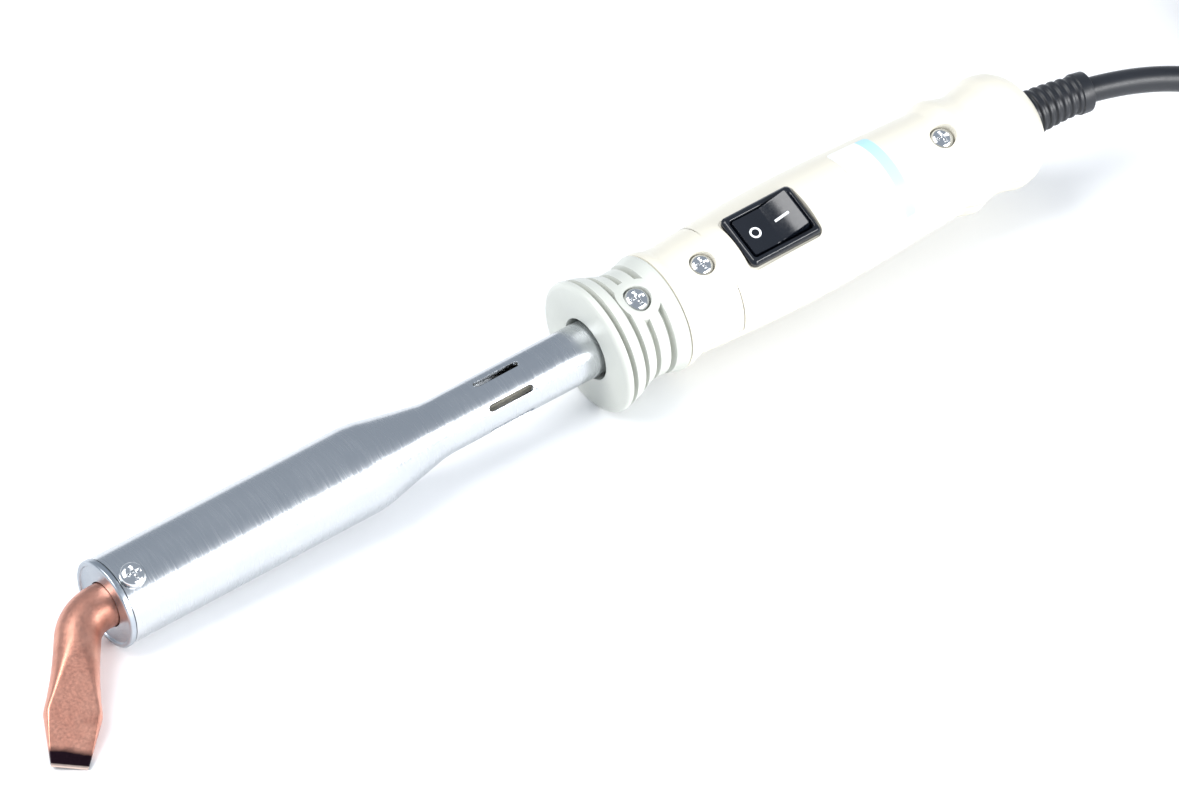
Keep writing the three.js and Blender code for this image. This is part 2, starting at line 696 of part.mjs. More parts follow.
function switchBody() {
  const x = switchX;
  const bezel = box([x - bezelLength / 2, -bezelWidth / 2, bezelTop - bezelThickness],
    [x + bezelLength / 2, bezelWidth / 2, bezelTop]);
  const can = box([x - switchBodyLength / 2, -switchBodyWidth / 2, switchBodyFoot],
    [x + switchBodyLength / 2, switchBodyWidth / 2, bezelTop - 0.5]);
  const hollow = box([x - rockerOpeningLength / 2, -rockerOpeningWidth / 2, switchBodyFoot + switchFloor],
    [x + rockerOpeningLength / 2, rockerOpeningWidth / 2, bezelTop + 1]);
  const pivot = pin(pivotRadius + gap, -switchBodyWidth, switchBodyWidth, 14).rotateX(Math.PI / 2)
    .translate(x, 0, rockerPivotZ);
  const slots = bladePlaces().map((place) => box(
    [place - bladeThickness / 2 - gap, -bladeWidth / 2 - gap, switchBodyFoot - 1],
    [place + bladeThickness / 2 + gap, bladeWidth / 2 + gap, switchBodyFoot + switchFloor + 1],
  ));
  return cut(join(bezel, can), hollow, pivot, ...slots);
}

function bladePlaces() {
  return [switchX, switchX - bladeSpacing];
}

// Rocker in its off position: the front half lies level, the rear half stands up by
// the swing. The outline is symmetric about its own middle before that half turn.
function rocker() {
  const half = rockerSwing / 2;
  const reach = rockerOpeningLength / 2 - gap;
  const level = rockerDrop + 0.2;
  const cornerX = reach * Math.cos(half) - level * Math.sin(half);
  const cornerZ = reach * Math.sin(half) + level * Math.cos(half);
  const valley = cornerZ - cornerX * Math.tan(half);
  const right = [[0, valley], [cornerX, cornerZ], [reach - 0.25, 1.6], [reach - 0.6, -1.2], [6, -4],
    [2.2, -5.5]];
  const left = right.slice(1).map(([x, z]) => [-x, z]).reverse();
  const outline = new THREE.Shape([...right, ...left].map(([x, z]) => new THREE.Vector2(x, z)));
  const width = rockerOpeningWidth - 2 * gap;
  const block = new THREE.ExtrudeGeometry(outline, { depth: width, bevelEnabled: false })
    .translate(0, 0, -width / 2).rotateX(Math.PI / 2);
  const trunnion = pin(pivotRadius, -switchBodyWidth / 2 + gap, switchBodyWidth / 2 - gap, 14)
    .rotateX(Math.PI / 2);
  const plunger = pin(plungerRadius, -plungerReach, -5, 12);
  return join(block, trunnion, plunger).rotateY(-half).translate(switchX, 0, rockerPivotZ);
}

// Seesaw contact under the rocker's plunger, tipped down at its rear end when off.
function contactLever() {
  return new THREE.BoxGeometry(...leverSize).rotateY(leverTilt).translate(switchX, 0, leverPivotZ);
}

function blade(place, top) {
  return box([place - bladeThickness / 2, -bladeWidth / 2, switchBodyFoot - bladeLength],
    [place + bladeThickness / 2, bladeWidth / 2, top]);
}

// Label: a strip bent round the handle, skinned over sections at equal turns.
function handleLabel() {
  const steps = 14;
  const labelEnd = labelStart + labelLength;
  const corners = handleOutline.map(([distance]) => distance)
    .filter((distance) => distance > labelStart && distance < labelEnd);
  const across = [labelStart, ...corners, labelEnd];
  const rings = [];
  for (let i = 0; i <= steps; i += 1) {
    const turn = THREE.MathUtils.lerp(...labelTurns, i / steps);
    const point = (distance, lift) => {
      const radius = handleRadiusAt(distance) + lift;
      return new THREE.Vector3(handleFront + distance, -radius * Math.sin(turn), radius * Math.cos(turn));
    };
    const under = across.map((distance) => point(distance, labelFilm));
    const over = across.map((distance) => point(distance, labelFilm + labelThickness));
    rings.push([...under, ...over.reverse()]);
  }
  return loft(rings);
}

function terminalBlock() {
  const start = handleFront + blockStart;
  const [length, width, height] = blockSize;
  const block = box([start, -width / 2, -height / 2], [start + length, width / 2, height / 2]);
  const end = start + length;
  const bores = [-1, 0, 1].map((pole) => turned(
    [[start - 1, 0], [start - 1, blockBore], [end + 1, blockBore], [end + 1, 0]],
    10, false,
  ).translate(0, pole * blockPitch, 0));
  return cut(block, ...bores);
}

function cordClamp() {
  const bar = box([clampX - clampLength / 2, -clampWidth / 2, gap / 2],
    [clampX + clampLength / 2, clampWidth / 2, clampHeight]);
  const half = cordRadius + gap;
  const channel = box([clampX - clampLength, -half, -1], [clampX + clampLength, half, half]);
  const holes = [-1, 1].map((way) => pin(clampScrew.shankRadius + gap, -1, clampHeight + 1, 12)
    .translate(clampX, (way * clampScrewSpacing) / 2, 0));
  return cut(bar, channel, ...holes);
}

function clampBarScrew(way) {
  const seat = clampHeight + gap;
  return panScrew(clampScrew, seat + 6.5).translate(clampX, (way * clampScrewSpacing) / 2, seat);
}

// Wires inside the iron, as routes in its own frame.
function wireRoutes(leadStart) {
  const blockFront = handleFront + blockStart + 2;
  const blockRear = handleFront + blockStart + blockSize[0] - 2;
  const cordFace = cordEndX - gap;
  const rearScrewX = handleFront + handleScrewPlaces[1];
  const frontScrewX = handleFront + handleScrewPlaces[0];
  const leadHalf = leadPitch / 2;
  const lead = (way) => [[leadStart, way * leadHalf, 0], [barrelEnd, way * leadHalf, 0],
    [taperEnd, way * 3.2, 0], [neckEnd, way * 3.4, 0], [frontScrewX - 7, way * 5.6, -1],
    [frontScrewX, way * 6.8, -2.5], [frontScrewX + 9, way * 8, -4], [switchX, way * 8.4, -3],
    [blockFront - 9, way * 8, -1], [blockFront - 3, way * blockPitch, 0],
    [blockFront, way * blockPitch, 0]];
  return {
    leadLeft: lead(-1),
    leadRight: lead(1),
    earthLead: [[neckEnd + 1.5, 0, -4.2], [frontScrewX - 9, 0.5, -5], [frontScrewX - 5.5, 3, -5.8],
      [frontScrewX, 6, -7], [frontScrewX + 10, 5.6, -9.4], [switchX - 4, 5.2, -10.6],
      [switchX + 5, 4.6, -10.2], [blockFront - 8, 1.5, -5], [blockFront - 3.5, 0, 0],
      [blockFront, 0, 0]],
    live: [[cordFace, 1.8, 1], [cordFace - 2, 2.2, 1], [rearScrewX + 4, 6.4, 3],
      [rearScrewX - 6, 6.8, 5.5],
      [blockRear - 8, 5, 6.2], [blockFront - 1, 3, 6.2], [switchX + 11.4, -1, 2],
      [switchX + 10.8, -1.8, -4], [switchX + 2.2, -1.2, -7.5]],
    switched: [[blockRear, -blockPitch, 0], [blockRear + 3, -blockPitch, 0],
      [blockRear + 6.4, -7.4, -1.8], [blockRear + 5, -8.2, -5],
      [blockRear - 8, -6.6, -6.6], [blockFront - 6, -5, -6.8], [switchX + 2, -5.2, -8.6],
      [switchX - 4.6, -1.6, -8.6]],
    neutral: [[cordFace, 0, -1.9], [cordFace - 2, 0.4, -1.9], [rearScrewX + 5, 5.8, -3.4],
      [rearScrewX - 5, 6.2, -2.6], [blockRear + 4, 6.1, 0], [blockRear, blockPitch, 0]],
    earth: [[cordFace, -1.8, 1], [cordFace - 2, -2.2, 1], [rearScrewX + 5, -6, 2.2],
      [rearScrewX - 5, -6, 2.2], [blockRear + 7, -1.6, 1], [blockRear + 3, 0, 0],
      [blockRear, 0, 0]],
  };
}

// Boot: flange inside the handle, then ribs that shrink towards the cord.
function bootRadii() {
  const wallEnd = handleEnd + gap;
  const flange = bootRadius + bootFlangeDepth;
  const stations = [[bootStart, flange], [bootStart + bootFlangeWidth, flange],
    [bootStart + bootFlangeWidth + 0.01, bootRadius], [wallEnd + 0.8, bootRadius]];
  const bootEnd = leadRoute[bootPoints - 1][0];
  const ribLength = (bootEnd - bootRingLength - 0.1 - wallEnd - 0.8) / bootRibs;
  for (let i = 0; i < bootRibs; i += 1) {
    const x = wallEnd + 0.8 + i * ribLength;
    const radius = THREE.MathUtils.lerp(bootRadius, bootEndRadius, (i + 1) / bootRibs);
    stations.push([x + 0.2, radius - bootRibDepth], [x + ribLength * 0.45, radius - bootRibDepth],
      [x + ribLength * 0.6, radius], [x + ribLength, radius]);
  }
  const ring = bootEndRadius + bootRingHeight;
  stations.push([bootEnd - bootRingLength, ring], [bootEnd - 0.8, ring], [bootEnd, bootEndRadius - 0.4]);
  return stations;
}

// Rings of the boot stand square to its centre line, which starts on the iron's axis
// and bends a little with the cord.
function cordBoot(toTable) {
  const onAxis = (x) => new THREE.Vector3(x, 0, 0).applyMatrix4(toTable);
  const start = onAxis(bootStart);
  const route = [start, onAxis(handleEnd), ...vectors(leadRoute.slice(0, bootPoints))];
  const curve = new THREE.CatmullRomCurve3(route, false, 'centripetal');
  const stations = bootRadii();
  const first = stations[0][0];
  const span = stations[stations.length - 1][0] - first;
  const rings = (radiusOf, sides) => stations.map(([x, radius]) => {
    const share = (x - first) / span;
    const middle = curve.getPointAt(share);
    const along = curve.getTangentAt(share);
    const across = new THREE.Vector3().crossVectors(new THREE.Vector3(0, 0, 1), along).normalize();
    const up = new THREE.Vector3().crossVectors(along, across);
    return Array.from({ length: sides }, (_, j) => {
      const turn = (2 * Math.PI * j) / sides;
      return middle.clone().addScaledVector(across, radiusOf(radius) * Math.cos(turn))
        .addScaledVector(up, radiusOf(radius) * Math.sin(turn));
    });
  });
  const skin = loft(rings((radius) => radius, 14));
  const boreRoute = [start.clone().lerp(onAxis(handleEnd), -0.3), ...route,
    new THREE.Vector3(...leadRoute[bootPoints])];
  return cut(skin, rod(boreRoute.map((point) => point.toArray()), cordRadius + gap, 12, 10));
}

// The cord from its end inside the handle, through the clamp and the boot, to the coil.
function cordLead(toTable) {
  const onAxis = (x) => new THREE.Vector3(x, 0, 0).applyMatrix4(toTable).toArray();
  const route = [onAxis(cordEndX), onAxis((cordEndX + bootStart) / 2), onAxis(bootStart),
    onAxis(handleEnd), ...leadRoute];
  return rod(route, cordRadius, 42, 8);
}

function coilRing() {
  const inner = coilTurnRadius - coilHalfWidth;
  const outer = coilTurnRadius + coilHalfWidth;
  const outline = [[inner, coilLow], [outer, coilLow], [outer, coilHigh], [inner, coilHigh],
    [inner, coilLow]];
  return new THREE.LatheGeometry(outline.map(([r, z]) => new THREE.Vector2(r, z)), 40)
    .rotateX(Math.PI / 2).translate(coilCentre[0], coilCentre[1], 0);
}

function coilTie() {
  const half = coilHalfWidth + gap;
  const [low, high] = [coilLow - gap, coilHigh + gap];
  const loop = box([coilTurnRadius - half - tieThickness, -tieWidth / 2, low - tieThickness],
    [coilTurnRadius + half + tieThickness, tieWidth / 2, high + tieThickness]);
  const inside = box([coilTurnRadius - half, -tieWidth, low], [coilTurnRadius + half, tieWidth, high]);
  return cut(loop, inside).rotateZ(tieTurn).translate(coilCentre[0], coilCentre[1], 0);
}

// Plug along +X: cable neck at x = 0, pins at the far end, then turned to lie beside the coil.
function plugPieces() {
  const edge = 0.6;
  const outline = [[0, 0], ...plugNeckOutline, [plugFlangeStart, plugRadius - edge],
    [plugFlangeStart + 1, plugRadius], [plugLength - edge, plugRadius],
    [plugLength, plugRadius - edge], [plugLength, 0]];
  const notchFloor = plugRadius - plugNotchDepth;
  const notchHalf = plugNotchWidth / 2;
  const notch = (way) => box([plugFlangeStart, -notchHalf, -2], [plugLength + 1, notchHalf, 2])
    .translate(0, 0, way * (notchFloor + 2));
  const spread = (way) => (way * pinSpacing) / 2;
  const sockets = [-1, 1].map((way) => turned([[plugLength - pinDepth - gap, 0],
    [plugLength - pinDepth - gap, pinRadius + gap], [plugLength + 1, pinRadius + gap],
    [plugLength + 1, 0]], 12, false).translate(0, spread(way), 0));
  const body = cut(turned(outline, 24, false), notch(1), notch(-1), ...sockets);
  const pinEnd = plugLength + pinLength;
  const pins = [-1, 1].map((way) => turned([[plugLength - pinDepth, 0], [plugLength - pinDepth, pinRadius],
    [pinEnd - 1.4, pinRadius], [pinEnd, pinRadius / 2], [pinEnd, 0]], 16, false)
    .translate(0, spread(way), 0));
  const stripX = (plugFlangeStart + plugLength) / 2;
  const stripZ = notchFloor + gap + earthStripSize[2] / 2;
  const strips = [-1, 1].map((way) => new THREE.BoxGeometry(...earthStripSize)
    .translate(stripX, 0, way * stripZ));
  const place = (piece) => {
    const [x, y, z] = tailRoute.at(-1);
    const before = tailRoute.at(-2);
    const heading = Math.atan2(y - before[1], x - before[0]);
    return piece.rotateX(Math.PI / 2).translate(gap, 0, 0).rotateZ(heading).translate(x, y, z);
  };
  return { body: place(body), pins: pins.map(place), strips: strips.map(place) };
}

// ---- how the iron rests: nose cap rim, collar rim and one corner of the bit's edge ----
const cornerX = -bitReach - bitLeg * Math.cos(bitBend) + edgeHalfWidth * Math.sin(bitBend);
const cornerReach = bitLeg * Math.sin(bitBend) + edgeHalfWidth * Math.cos(bitBend);
const cornerRadius = Math.hypot(cornerReach, edgeHalfThickness);
const cornerTurn = bitTurn + Math.atan(edgeHalfThickness / cornerReach);
const roll = Math.acos(-(axisHeight + cornerX * Math.sin(pitch)) / (cornerRadius * Math.cos(pitch)))
  - cornerTurn;
const restingPose = new THREE.Matrix4().makeTranslation(0, 0, axisHeight)
  .multiply(new THREE.Matrix4().makeRotationY(-pitch))
  .multiply(new THREE.Matrix4().makeRotationX(roll));

// ---- assembly ----
const solderingIron = new THREE.Group();
const iron = new THREE.Group();
const cordSet = new THREE.Group();
iron.applyMatrix4(restingPose);
solderingIron.add(iron, cordSet);

function add(group, name, geometry, material) {
  const mesh = new THREE.Mesh(closed(geometry), material);
  mesh.geometry.computeVertexNormals();
  mesh.name = name;
  group.add(mesh);
}

const heater = heaterPieces();
const wires = wireRoutes(heater.leadStart);
const plug = plugPieces();
const [commonBlade, loadBlade] = bladePlaces();

add(iron, 'copper_bit', copperBit(), finishes.copper);
add(iron, 'barrel_cap', barrelCap(), finishes.steel);
add(iron, 'barrel_tube', barrelTube(), finishes.steel);
add(iron, 'bit_screw', bitScrew(), finishes.chrome);
add(iron, 'heater_former', heater.former, finishes.ceramic);
add(iron, 'heater_winding', heater.winding, finishes.nichrome);
add(iron, 'mica_wrap', heater.mica, finishes.mica);
add(iron, 'rear_insulator', heater.disc, finishes.ceramic);
add(iron, 'heater_lead_live', rod(wires.leadLeft, leadRadius, 22), finishes.sleeve);
add(iron, 'heater_lead_neutral', rod(wires.leadRight, leadRadius, 22), finishes.sleeve);
add(iron, 'neck_bush', neckBush(), finishes.steel);
add(iron, 'earth_tag', earthTag(), finishes.brass);
add(iron, 'vent_collar', ventCollar(), finishes.greyPlastic);
add(iron, 'collar_screw', collarScrew(), finishes.chrome);
add(iron, 'handle_upper', handleUpper(), finishes.beigePlastic);
add(iron, 'handle_lower', handleLower(), finishes.beigePlastic);
add(iron, 'handle_screw_front', handleScrew(handleScrewPlaces[0]), finishes.chrome);
add(iron, 'handle_screw_rear', handleScrew(handleScrewPlaces[1]), finishes.chrome);
add(iron, 'switch_body', switchBody(), finishes.blackPlastic);
add(iron, 'switch_rocker', rocker(), finishes.blackPlastic);
add(iron, 'contact_lever', contactLever(), finishes.brass);
add(iron, 'switch_blade_common', blade(commonBlade, leverPivotZ - 1), finishes.brass);
add(iron, 'switch_blade_load', blade(loadBlade, leverPivotZ - 1.6), finishes.brass);
add(iron, 'terminal_block', terminalBlock(), finishes.ceramic);
add(iron, 'wire_earth_front', rod(wires.earthLead, wireRadius, 20, 6), finishes.earthWire);
add(iron, 'wire_live', rod(wires.live, wireRadius, 20, 6), finishes.brownWire);
add(iron, 'wire_switched', rod(wires.switched, wireRadius, 18, 6), finishes.brownWire);
add(iron, 'wire_neutral', rod(wires.neutral, wireRadius, 12, 6), finishes.blueWire);
add(iron, 'wire_earth', rod(wires.earth, wireRadius, 12, 6), finishes.earthWire);
add(iron, 'cord_clamp', cordClamp(), finishes.ceramic);
add(iron, 'clamp_screw_left', clampBarScrew(-1), finishes.chrome);
add(iron, 'clamp_screw_right', clampBarScrew(1), finishes.chrome);
add(iron, 'handle_label', handleLabel(), finishes.label);
add(cordSet, 'cord_boot', cordBoot(restingPose), finishes.rubber);
add(cordSet, 'mains_cord', cordLead(restingPose), finishes.rubber);
add(cordSet, 'cord_coil', coilRing(), finishes.rubber);
add(cordSet, 'coil_tie', coilTie(), finishes.blackPlastic);
add(cordSet, 'cord_tail', rod(tailRoute, cordRadius, 14), finishes.rubber);
add(cordSet, 'plug_body', plug.body, finishes.blackPlastic);
add(cordSet, 'plug_pin_left', plug.pins[0], finishes.chrome);
add(cordSet, 'plug_pin_right', plug.pins[1], finishes.chrome);
add(cordSet, 'plug_earth_strip_left', plug.strips[0], finishes.chrome);
add(cordSet, 'plug_earth_strip_right', plug.strips[1], finishes.chrome);

// The origin is the middle of the iron's footprint, without its cord, on the table.
solderingIron.updateMatrixWorld(true);
const footprint = new THREE.Box3().setFromObject(iron, true);
footprint.union(new THREE.Box3().setFromObject(cordSet.getObjectByName('cord_boot'), true));
const middle = footprint.getCenter(new THREE.Vector3());
solderingIron.position.set(-middle.x, -middle.y, -footprint.min.z);
solderingIron.updateMatrixWorld(true);

export default solderingIron;
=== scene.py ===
import json
import math

import bmesh
import bpy
import numpy as np
from mathutils import Matrix, Vector


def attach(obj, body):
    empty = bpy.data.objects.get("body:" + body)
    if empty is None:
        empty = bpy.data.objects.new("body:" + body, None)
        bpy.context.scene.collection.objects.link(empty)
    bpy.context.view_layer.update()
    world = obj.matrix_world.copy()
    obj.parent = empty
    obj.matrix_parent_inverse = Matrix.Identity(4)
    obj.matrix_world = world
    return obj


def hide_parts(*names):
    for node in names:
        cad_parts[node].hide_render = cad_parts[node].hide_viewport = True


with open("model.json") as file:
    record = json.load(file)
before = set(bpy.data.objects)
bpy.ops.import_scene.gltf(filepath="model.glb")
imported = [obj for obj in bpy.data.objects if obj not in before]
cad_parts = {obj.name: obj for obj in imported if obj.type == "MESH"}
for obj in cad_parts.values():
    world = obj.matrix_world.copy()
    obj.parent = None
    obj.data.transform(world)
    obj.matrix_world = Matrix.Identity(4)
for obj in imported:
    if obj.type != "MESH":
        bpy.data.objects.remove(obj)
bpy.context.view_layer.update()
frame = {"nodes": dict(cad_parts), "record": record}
millimetre = 0.001
print("frame loaded,", len(frame["nodes"]), "CAD nodes")

# Shapes are worked out in millimetres in the iron's own frame: x runs along the barrel from the
# nose face to the cord, z is the switch's outward normal, and turns round the barrel start at z
# and grow towards -y. The joints say where that frame stands.
layout = {
    "switchPlace": 194.6,
    "pivotHeight": 13.2,
    "noseHeight": 11.44,  # iron's axis over the table at the nose face
    "handleEnd": 276.1,
}
joints = {joint["name"]: joint for joint in frame["record"]["behaviour"]["joints"]}
along = -np.array(joints["bit_slide"]["axis"], float)
along /= np.linalg.norm(along)
across = np.array(joints["rocker_pivot"]["axis"], float)
across *= np.sign(across[1]) / np.linalg.norm(across)
upward = np.cross(along, across)
pivot = np.array(joints["rocker_pivot"]["pos_m"], float)
nose = pivot - millimetre * (layout["switchPlace"] * along + layout["pivotHeight"] * upward)
tableOrigin = nose - [0, 0, millimetre * layout["noseHeight"]]


# A point of the iron's frame in metres: nose + x along + y across + z upward.
def fromIron(points):
    points = np.asarray(points, float) * millimetre
    return nose + points[..., :1] * along + points[..., 1:2] * across + points[..., 2:] * upward


# A point of the table's frame in metres, with its origin under the nose face.
def fromTable(points):
    return tableOrigin + np.asarray(points, float) * millimetre


# ---- camera, floor and light ----

cameraSet = {
    "place": (-1.20715, -1.67759, 1.84953),
    "right": (0.80563, -0.59235, -0.00846),
    "up": (0.39871, 0.53159, 0.74729),
    "lens": 350,
    "sensor": 36,
}
camera = bpy.data.objects.new("camera", bpy.data.cameras.new("camera"))
right, up = Vector(cameraSet["right"]), Vector(cameraSet["up"])
axes = Matrix((right, up, right.cross(up))).transposed()
camera.matrix_world = Matrix.Translation(cameraSet["place"]) @ axes.to_4x4()
camera.data.lens = cameraSet["lens"]
camera.data.sensor_width = cameraSet["sensor"]
camera.data.clip_end = 20
bpy.context.collection.objects.link(camera)
bpy.context.scene.camera = camera
bpy.context.scene.view_settings.view_transform = "Standard"


# sRGB hex to linear: each channel c is c / 12.92 below 0.04045, else ((c + 0.055) / 1.055) ^ 2.4.
def colour(code):
    channels = np.array([(code >> shift) & 255 for shift in (16, 8, 0)]) / 255
    linear = np.where(channels <= 0.04045, channels / 12.92, ((channels + 0.055) / 1.055) ** 2.4)
    return (*linear.tolist(), 1.0)


# Adds one node: its settings, its inputs' values and the sockets that feed them.
def addNode(tree, kind, settings=None, values=None, links=None):
    made = tree.nodes.new(kind)
    for name, value in (settings or {}).items():
        setattr(made, name, value)
    for name, value in (values or {}).items():
        made.inputs[name].default_value = value
    for name, source in (links or {}).items():
        tree.links.new(source, made.inputs[name])
    return made


def newMaterial(name):
    material = bpy.data.materials.new(name)
    material.use_nodes = True
    material.node_tree.nodes.clear()
    return material, material.node_tree


# Object coordinates turned into the iron's frame, in millimetres.
def ironPlace(tree):
    turn = Matrix((along, across, upward))
    shift = turn @ Vector(nose) * -1000
    coordinates = addNode(tree, "ShaderNodeTexCoord")
    return addNode(
        tree,
        "ShaderNodeMapping",
        values={"Location": shift, "Rotation": turn.to_euler(), "Scale": (1000, 1000, 1000)},
        links={"Vector": coordinates.outputs["Object"]},
    ).outputs["Vector"]


# Finishes that one recipe covers. The colour wanders between two shades over patches of
# `patch` mm, and the roughness between two values and a bump of `depth` mm both follow
# grains of `grain` mm; `stretch` draws the grain out along the iron's x, y and z.
def mottled(name, look):
    material, tree = newMaterial(name)
    place = ironPlace(tree)
    patches = addNode(
        tree,
        "ShaderNodeTexNoise",
        values={"Scale": 1 / look["patch"], "Detail": 3.0, "Roughness": 0.55},
        links={"Vector": place},
    )
    stretched = addNode(
        tree,
        "ShaderNodeVectorMath",
        {"operation": "MULTIPLY"},
        {1: look.get("stretch", (1, 1, 1))},
        {0: place},
    )
    grain = addNode(
        tree,
        "ShaderNodeTexNoise",
        values={"Scale": 1 / look["grain"], "Detail": 4.0, "Roughness": 0.6},
        links={"Vector": stretched.outputs["Vector"]},
    )
    shade = addNode(
        tree,
        "ShaderNodeMix",
        {"data_type": "RGBA"},
        {"A": colour(look["colours"][0]), "B": colour(look["colours"][1])},
        {"Factor": patches.outputs["Fac"]},
    )
    rough = addNode(
        tree,
        "ShaderNodeMapRange",
        values={
            "From Min": 0.3,
            "From Max": 0.7,
            "To Min": look["roughness"][0],
            "To Max": look["roughness"][1],
        },
        links={"Value": grain.outputs["Fac"]},
    )
    bump = addNode(
        tree,
        "ShaderNodeBump",
        values={"Strength": 1.0, "Distance": look["depth"] * millimetre},
        links={"Height": grain.outputs["Fac"]},
    )
    shader = addNode(
        tree,
        "ShaderNodeBsdfPrincipled",
        values=look.get("shader", {}),
        links={
            "Base Color": shade.outputs["Result"],
            "Roughness": rough.outputs["Result"],
            "Normal": bump.outputs["Normal"],
        },
    )
    addNode(tree, "ShaderNodeOutputMaterial", links={"Surface": shader.outputs["BSDF"]})
    return material, tree, shade, shader, place


finishes = {}
looks = {
    # satin nickel plate on spun steel: fine rings round the axis, soft long highlights
    "satin nickel": {
        "colours": (0xC4C8CC, 0xD2D4D6), "roughness": (0.2, 0.3), "patch": 18, "grain": 0.5,
        "stretch": (1, 0.06, 0.06), "depth": 0.0015, "shader": {"Metallic": 1.0},
    },
    # turned and plated face: cooler and duller than the barrel
    "turned nickel": {
        "colours": (0xA9B0B8, 0xBEC4CA), "roughness": (0.26, 0.4), "patch": 6, "grain": 0.4,
        "depth": 0.002, "shader": {"Metallic": 1.0},
    },
    # bright nickel on screws and pins: nearly a mirror, faintly clouded
    "bright nickel": {
        "colours": (0xD2D4D6, 0xE2E3E4), "roughness": (0.08, 0.16), "patch": 3, "grain": 0.6,
        "depth": 0.001, "shader": {"Metallic": 1.0},
    },
    # lacquered grey moulding: smooth, faint orange peel
    "grey lacquered plastic": {
        "colours": (0xC3C5BD, 0xCBCDC6), "roughness": (0.3, 0.38), "patch": 9, "grain": 1.2,
        "depth": 0.004, "shader": {"IOR": 1.5},
    },
    # beige thermoset moulding: semi-gloss, very fine spark grain
    "beige moulded plastic": {
        "colours": (0xDAD5C6, 0xE1DCCE), "roughness": (0.3, 0.4), "patch": 22, "grain": 0.35,
        "depth": 0.005, "shader": {"IOR": 1.5},
    },
    # glossy black polycarbonate of the switch
    "black polycarbonate": {
        "colours": (0x0B0E15, 0x11151D), "roughness": (0.12, 0.2), "patch": 5, "grain": 0.8,
        "depth": 0.0015, "shader": {"IOR": 1.58},
    },
    # pad-printed switch marks: flat white ink
    "white print": {
        "colours": (0xE9ECEE, 0xF4F5F6), "roughness": (0.45, 0.6), "patch": 1, "grain": 0.2,
        "depth": 0.001, "shader": {"IOR": 1.45},
    },
    # soft PVC of the boot, plug and cord: satin black with a bluish sheen
    "black PVC": {
        "colours": (0x111318, 0x1A1D24), "roughness": (0.34, 0.46), "patch": 14, "grain": 0.5,
        "depth": 0.006, "shader": {"IOR": 1.52, "Sheen Weight": 0.12, "Sheen Roughness": 0.4},
    },
    # nylon tie: hard, slightly translucent black
    "black nylon": {
        "colours": (0x15171B, 0x1E2126), "roughness": (0.25, 0.36), "patch": 6, "grain": 0.4,
        "depth": 0.003, "shader": {"IOR": 1.53},
    },
    # stamped brass
    "stamped brass": {
        "colours": (0xC39B4E, 0xD8B46C), "roughness": (0.22, 0.36), "patch": 4, "grain": 0.3,
        "depth": 0.003, "shader": {"Metallic": 1.0},
    },
    # pressed steatite: off-white, dry and slightly speckled
    "steatite ceramic": {
        "colours": (0xDDD6C6, 0xECE7DA), "roughness": (0.6, 0.78), "patch": 2.5, "grain": 0.25,
        "depth": 0.01, "shader": {"IOR": 1.6},
    },
    # mica paper: brown flakes with a soft glint
    "mica paper": {
        "colours": (0x8E7448, 0xB9A173), "roughness": (0.35, 0.55), "patch": 1.6, "grain": 0.5,
        "depth": 0.01, "shader": {"IOR": 1.58},
    },
    # oxidised resistance wire: dark grey, drawn round the former
    "oxidised nichrome": {
        "colours": (0x6F6A66, 0x8F8983), "roughness": (0.38, 0.55), "patch": 2, "grain": 0.35,
        "stretch": (1, 0.1, 0.1), "depth": 0.01, "shader": {"Metallic": 1.0},
    },
    # braided glass sleeving
    "glass sleeving": {
        "colours": (0xD2CCB9, 0xE8E3D4), "roughness": (0.65, 0.85), "patch": 0.8, "grain": 0.3,
        "depth": 0.03, "shader": {"IOR": 1.5},
    },
    "brown wire PVC": {
        "colours": (0x5E301A, 0x74402A), "roughness": (0.4, 0.52), "patch": 3, "grain": 0.4,
        "depth": 0.004, "shader": {"IOR": 1.52},
    },
    "blue wire PVC": {
        "colours": (0x24569C, 0x3068B4), "roughness": (0.4, 0.52), "patch": 3, "grain": 0.4,
        "depth": 0.004, "shader": {"IOR": 1.52},
    },
}
for finishName, look in looks.items():
    finishes[finishName] = mottled(finishName, look)[0]
print("finishes ready:", len(finishes))

# Photographic card: matt, almost white.
studio = {"floorSize": 9.0, "floorShade": 0xF4F5F6, "worldShade": 0xB9C3D0, "worldStrength": 0.85}
floorMaterial, floorTree = newMaterial("matt white card")
floorPlace = addNode(floorTree, "ShaderNodeTexCoord")
floorNoise = addNode(
    floorTree,
    "ShaderNodeTexNoise",
    values={"Scale": 6.0, "Detail": 2.0},
    links={"Vector": floorPlace.outputs["Object"]},
)
floorShade = addNode(
    floorTree,
    "ShaderNodeMix",
    {"data_type": "RGBA"},
    {"A": colour(studio["floorShade"]), "B": colour(0xF7F7F7)},
    {"Factor": floorNoise.outputs["Fac"]},
)
floorShader = addNode(
    floorTree,
    "ShaderNodeBsdfPrincipled",
    values={"Roughness": 0.9, "Specular IOR Level": 0.1},
    links={"Base Color": floorShade.outputs["Result"]},
)
addNode(floorTree, "ShaderNodeOutputMaterial", links={"Surface": floorShader.outputs["BSDF"]})
floorMesh = bpy.data.meshes.new("floor")
half = studio["floorSize"] / 2
floorMesh.from_pydata([(-half, -half, 0), (half, -half, 0), (half, half, 0), (-half, half, 0)], [],
                      [(0, 1, 2, 3)])
floorMesh.materials.append(floorMaterial)
floor = bpy.data.objects.new("floor", floorMesh)
bpy.context.collection.objects.link(floor)

world = bpy.data.worlds.new("soft studio")
world.use_nodes = True
background = world.node_tree.nodes["Background"]
background.inputs["Color"].default_value = colour(studio["worldShade"])
background.inputs["Strength"].default_value = studio["worldStrength"]
bpy.context.scene.world = world

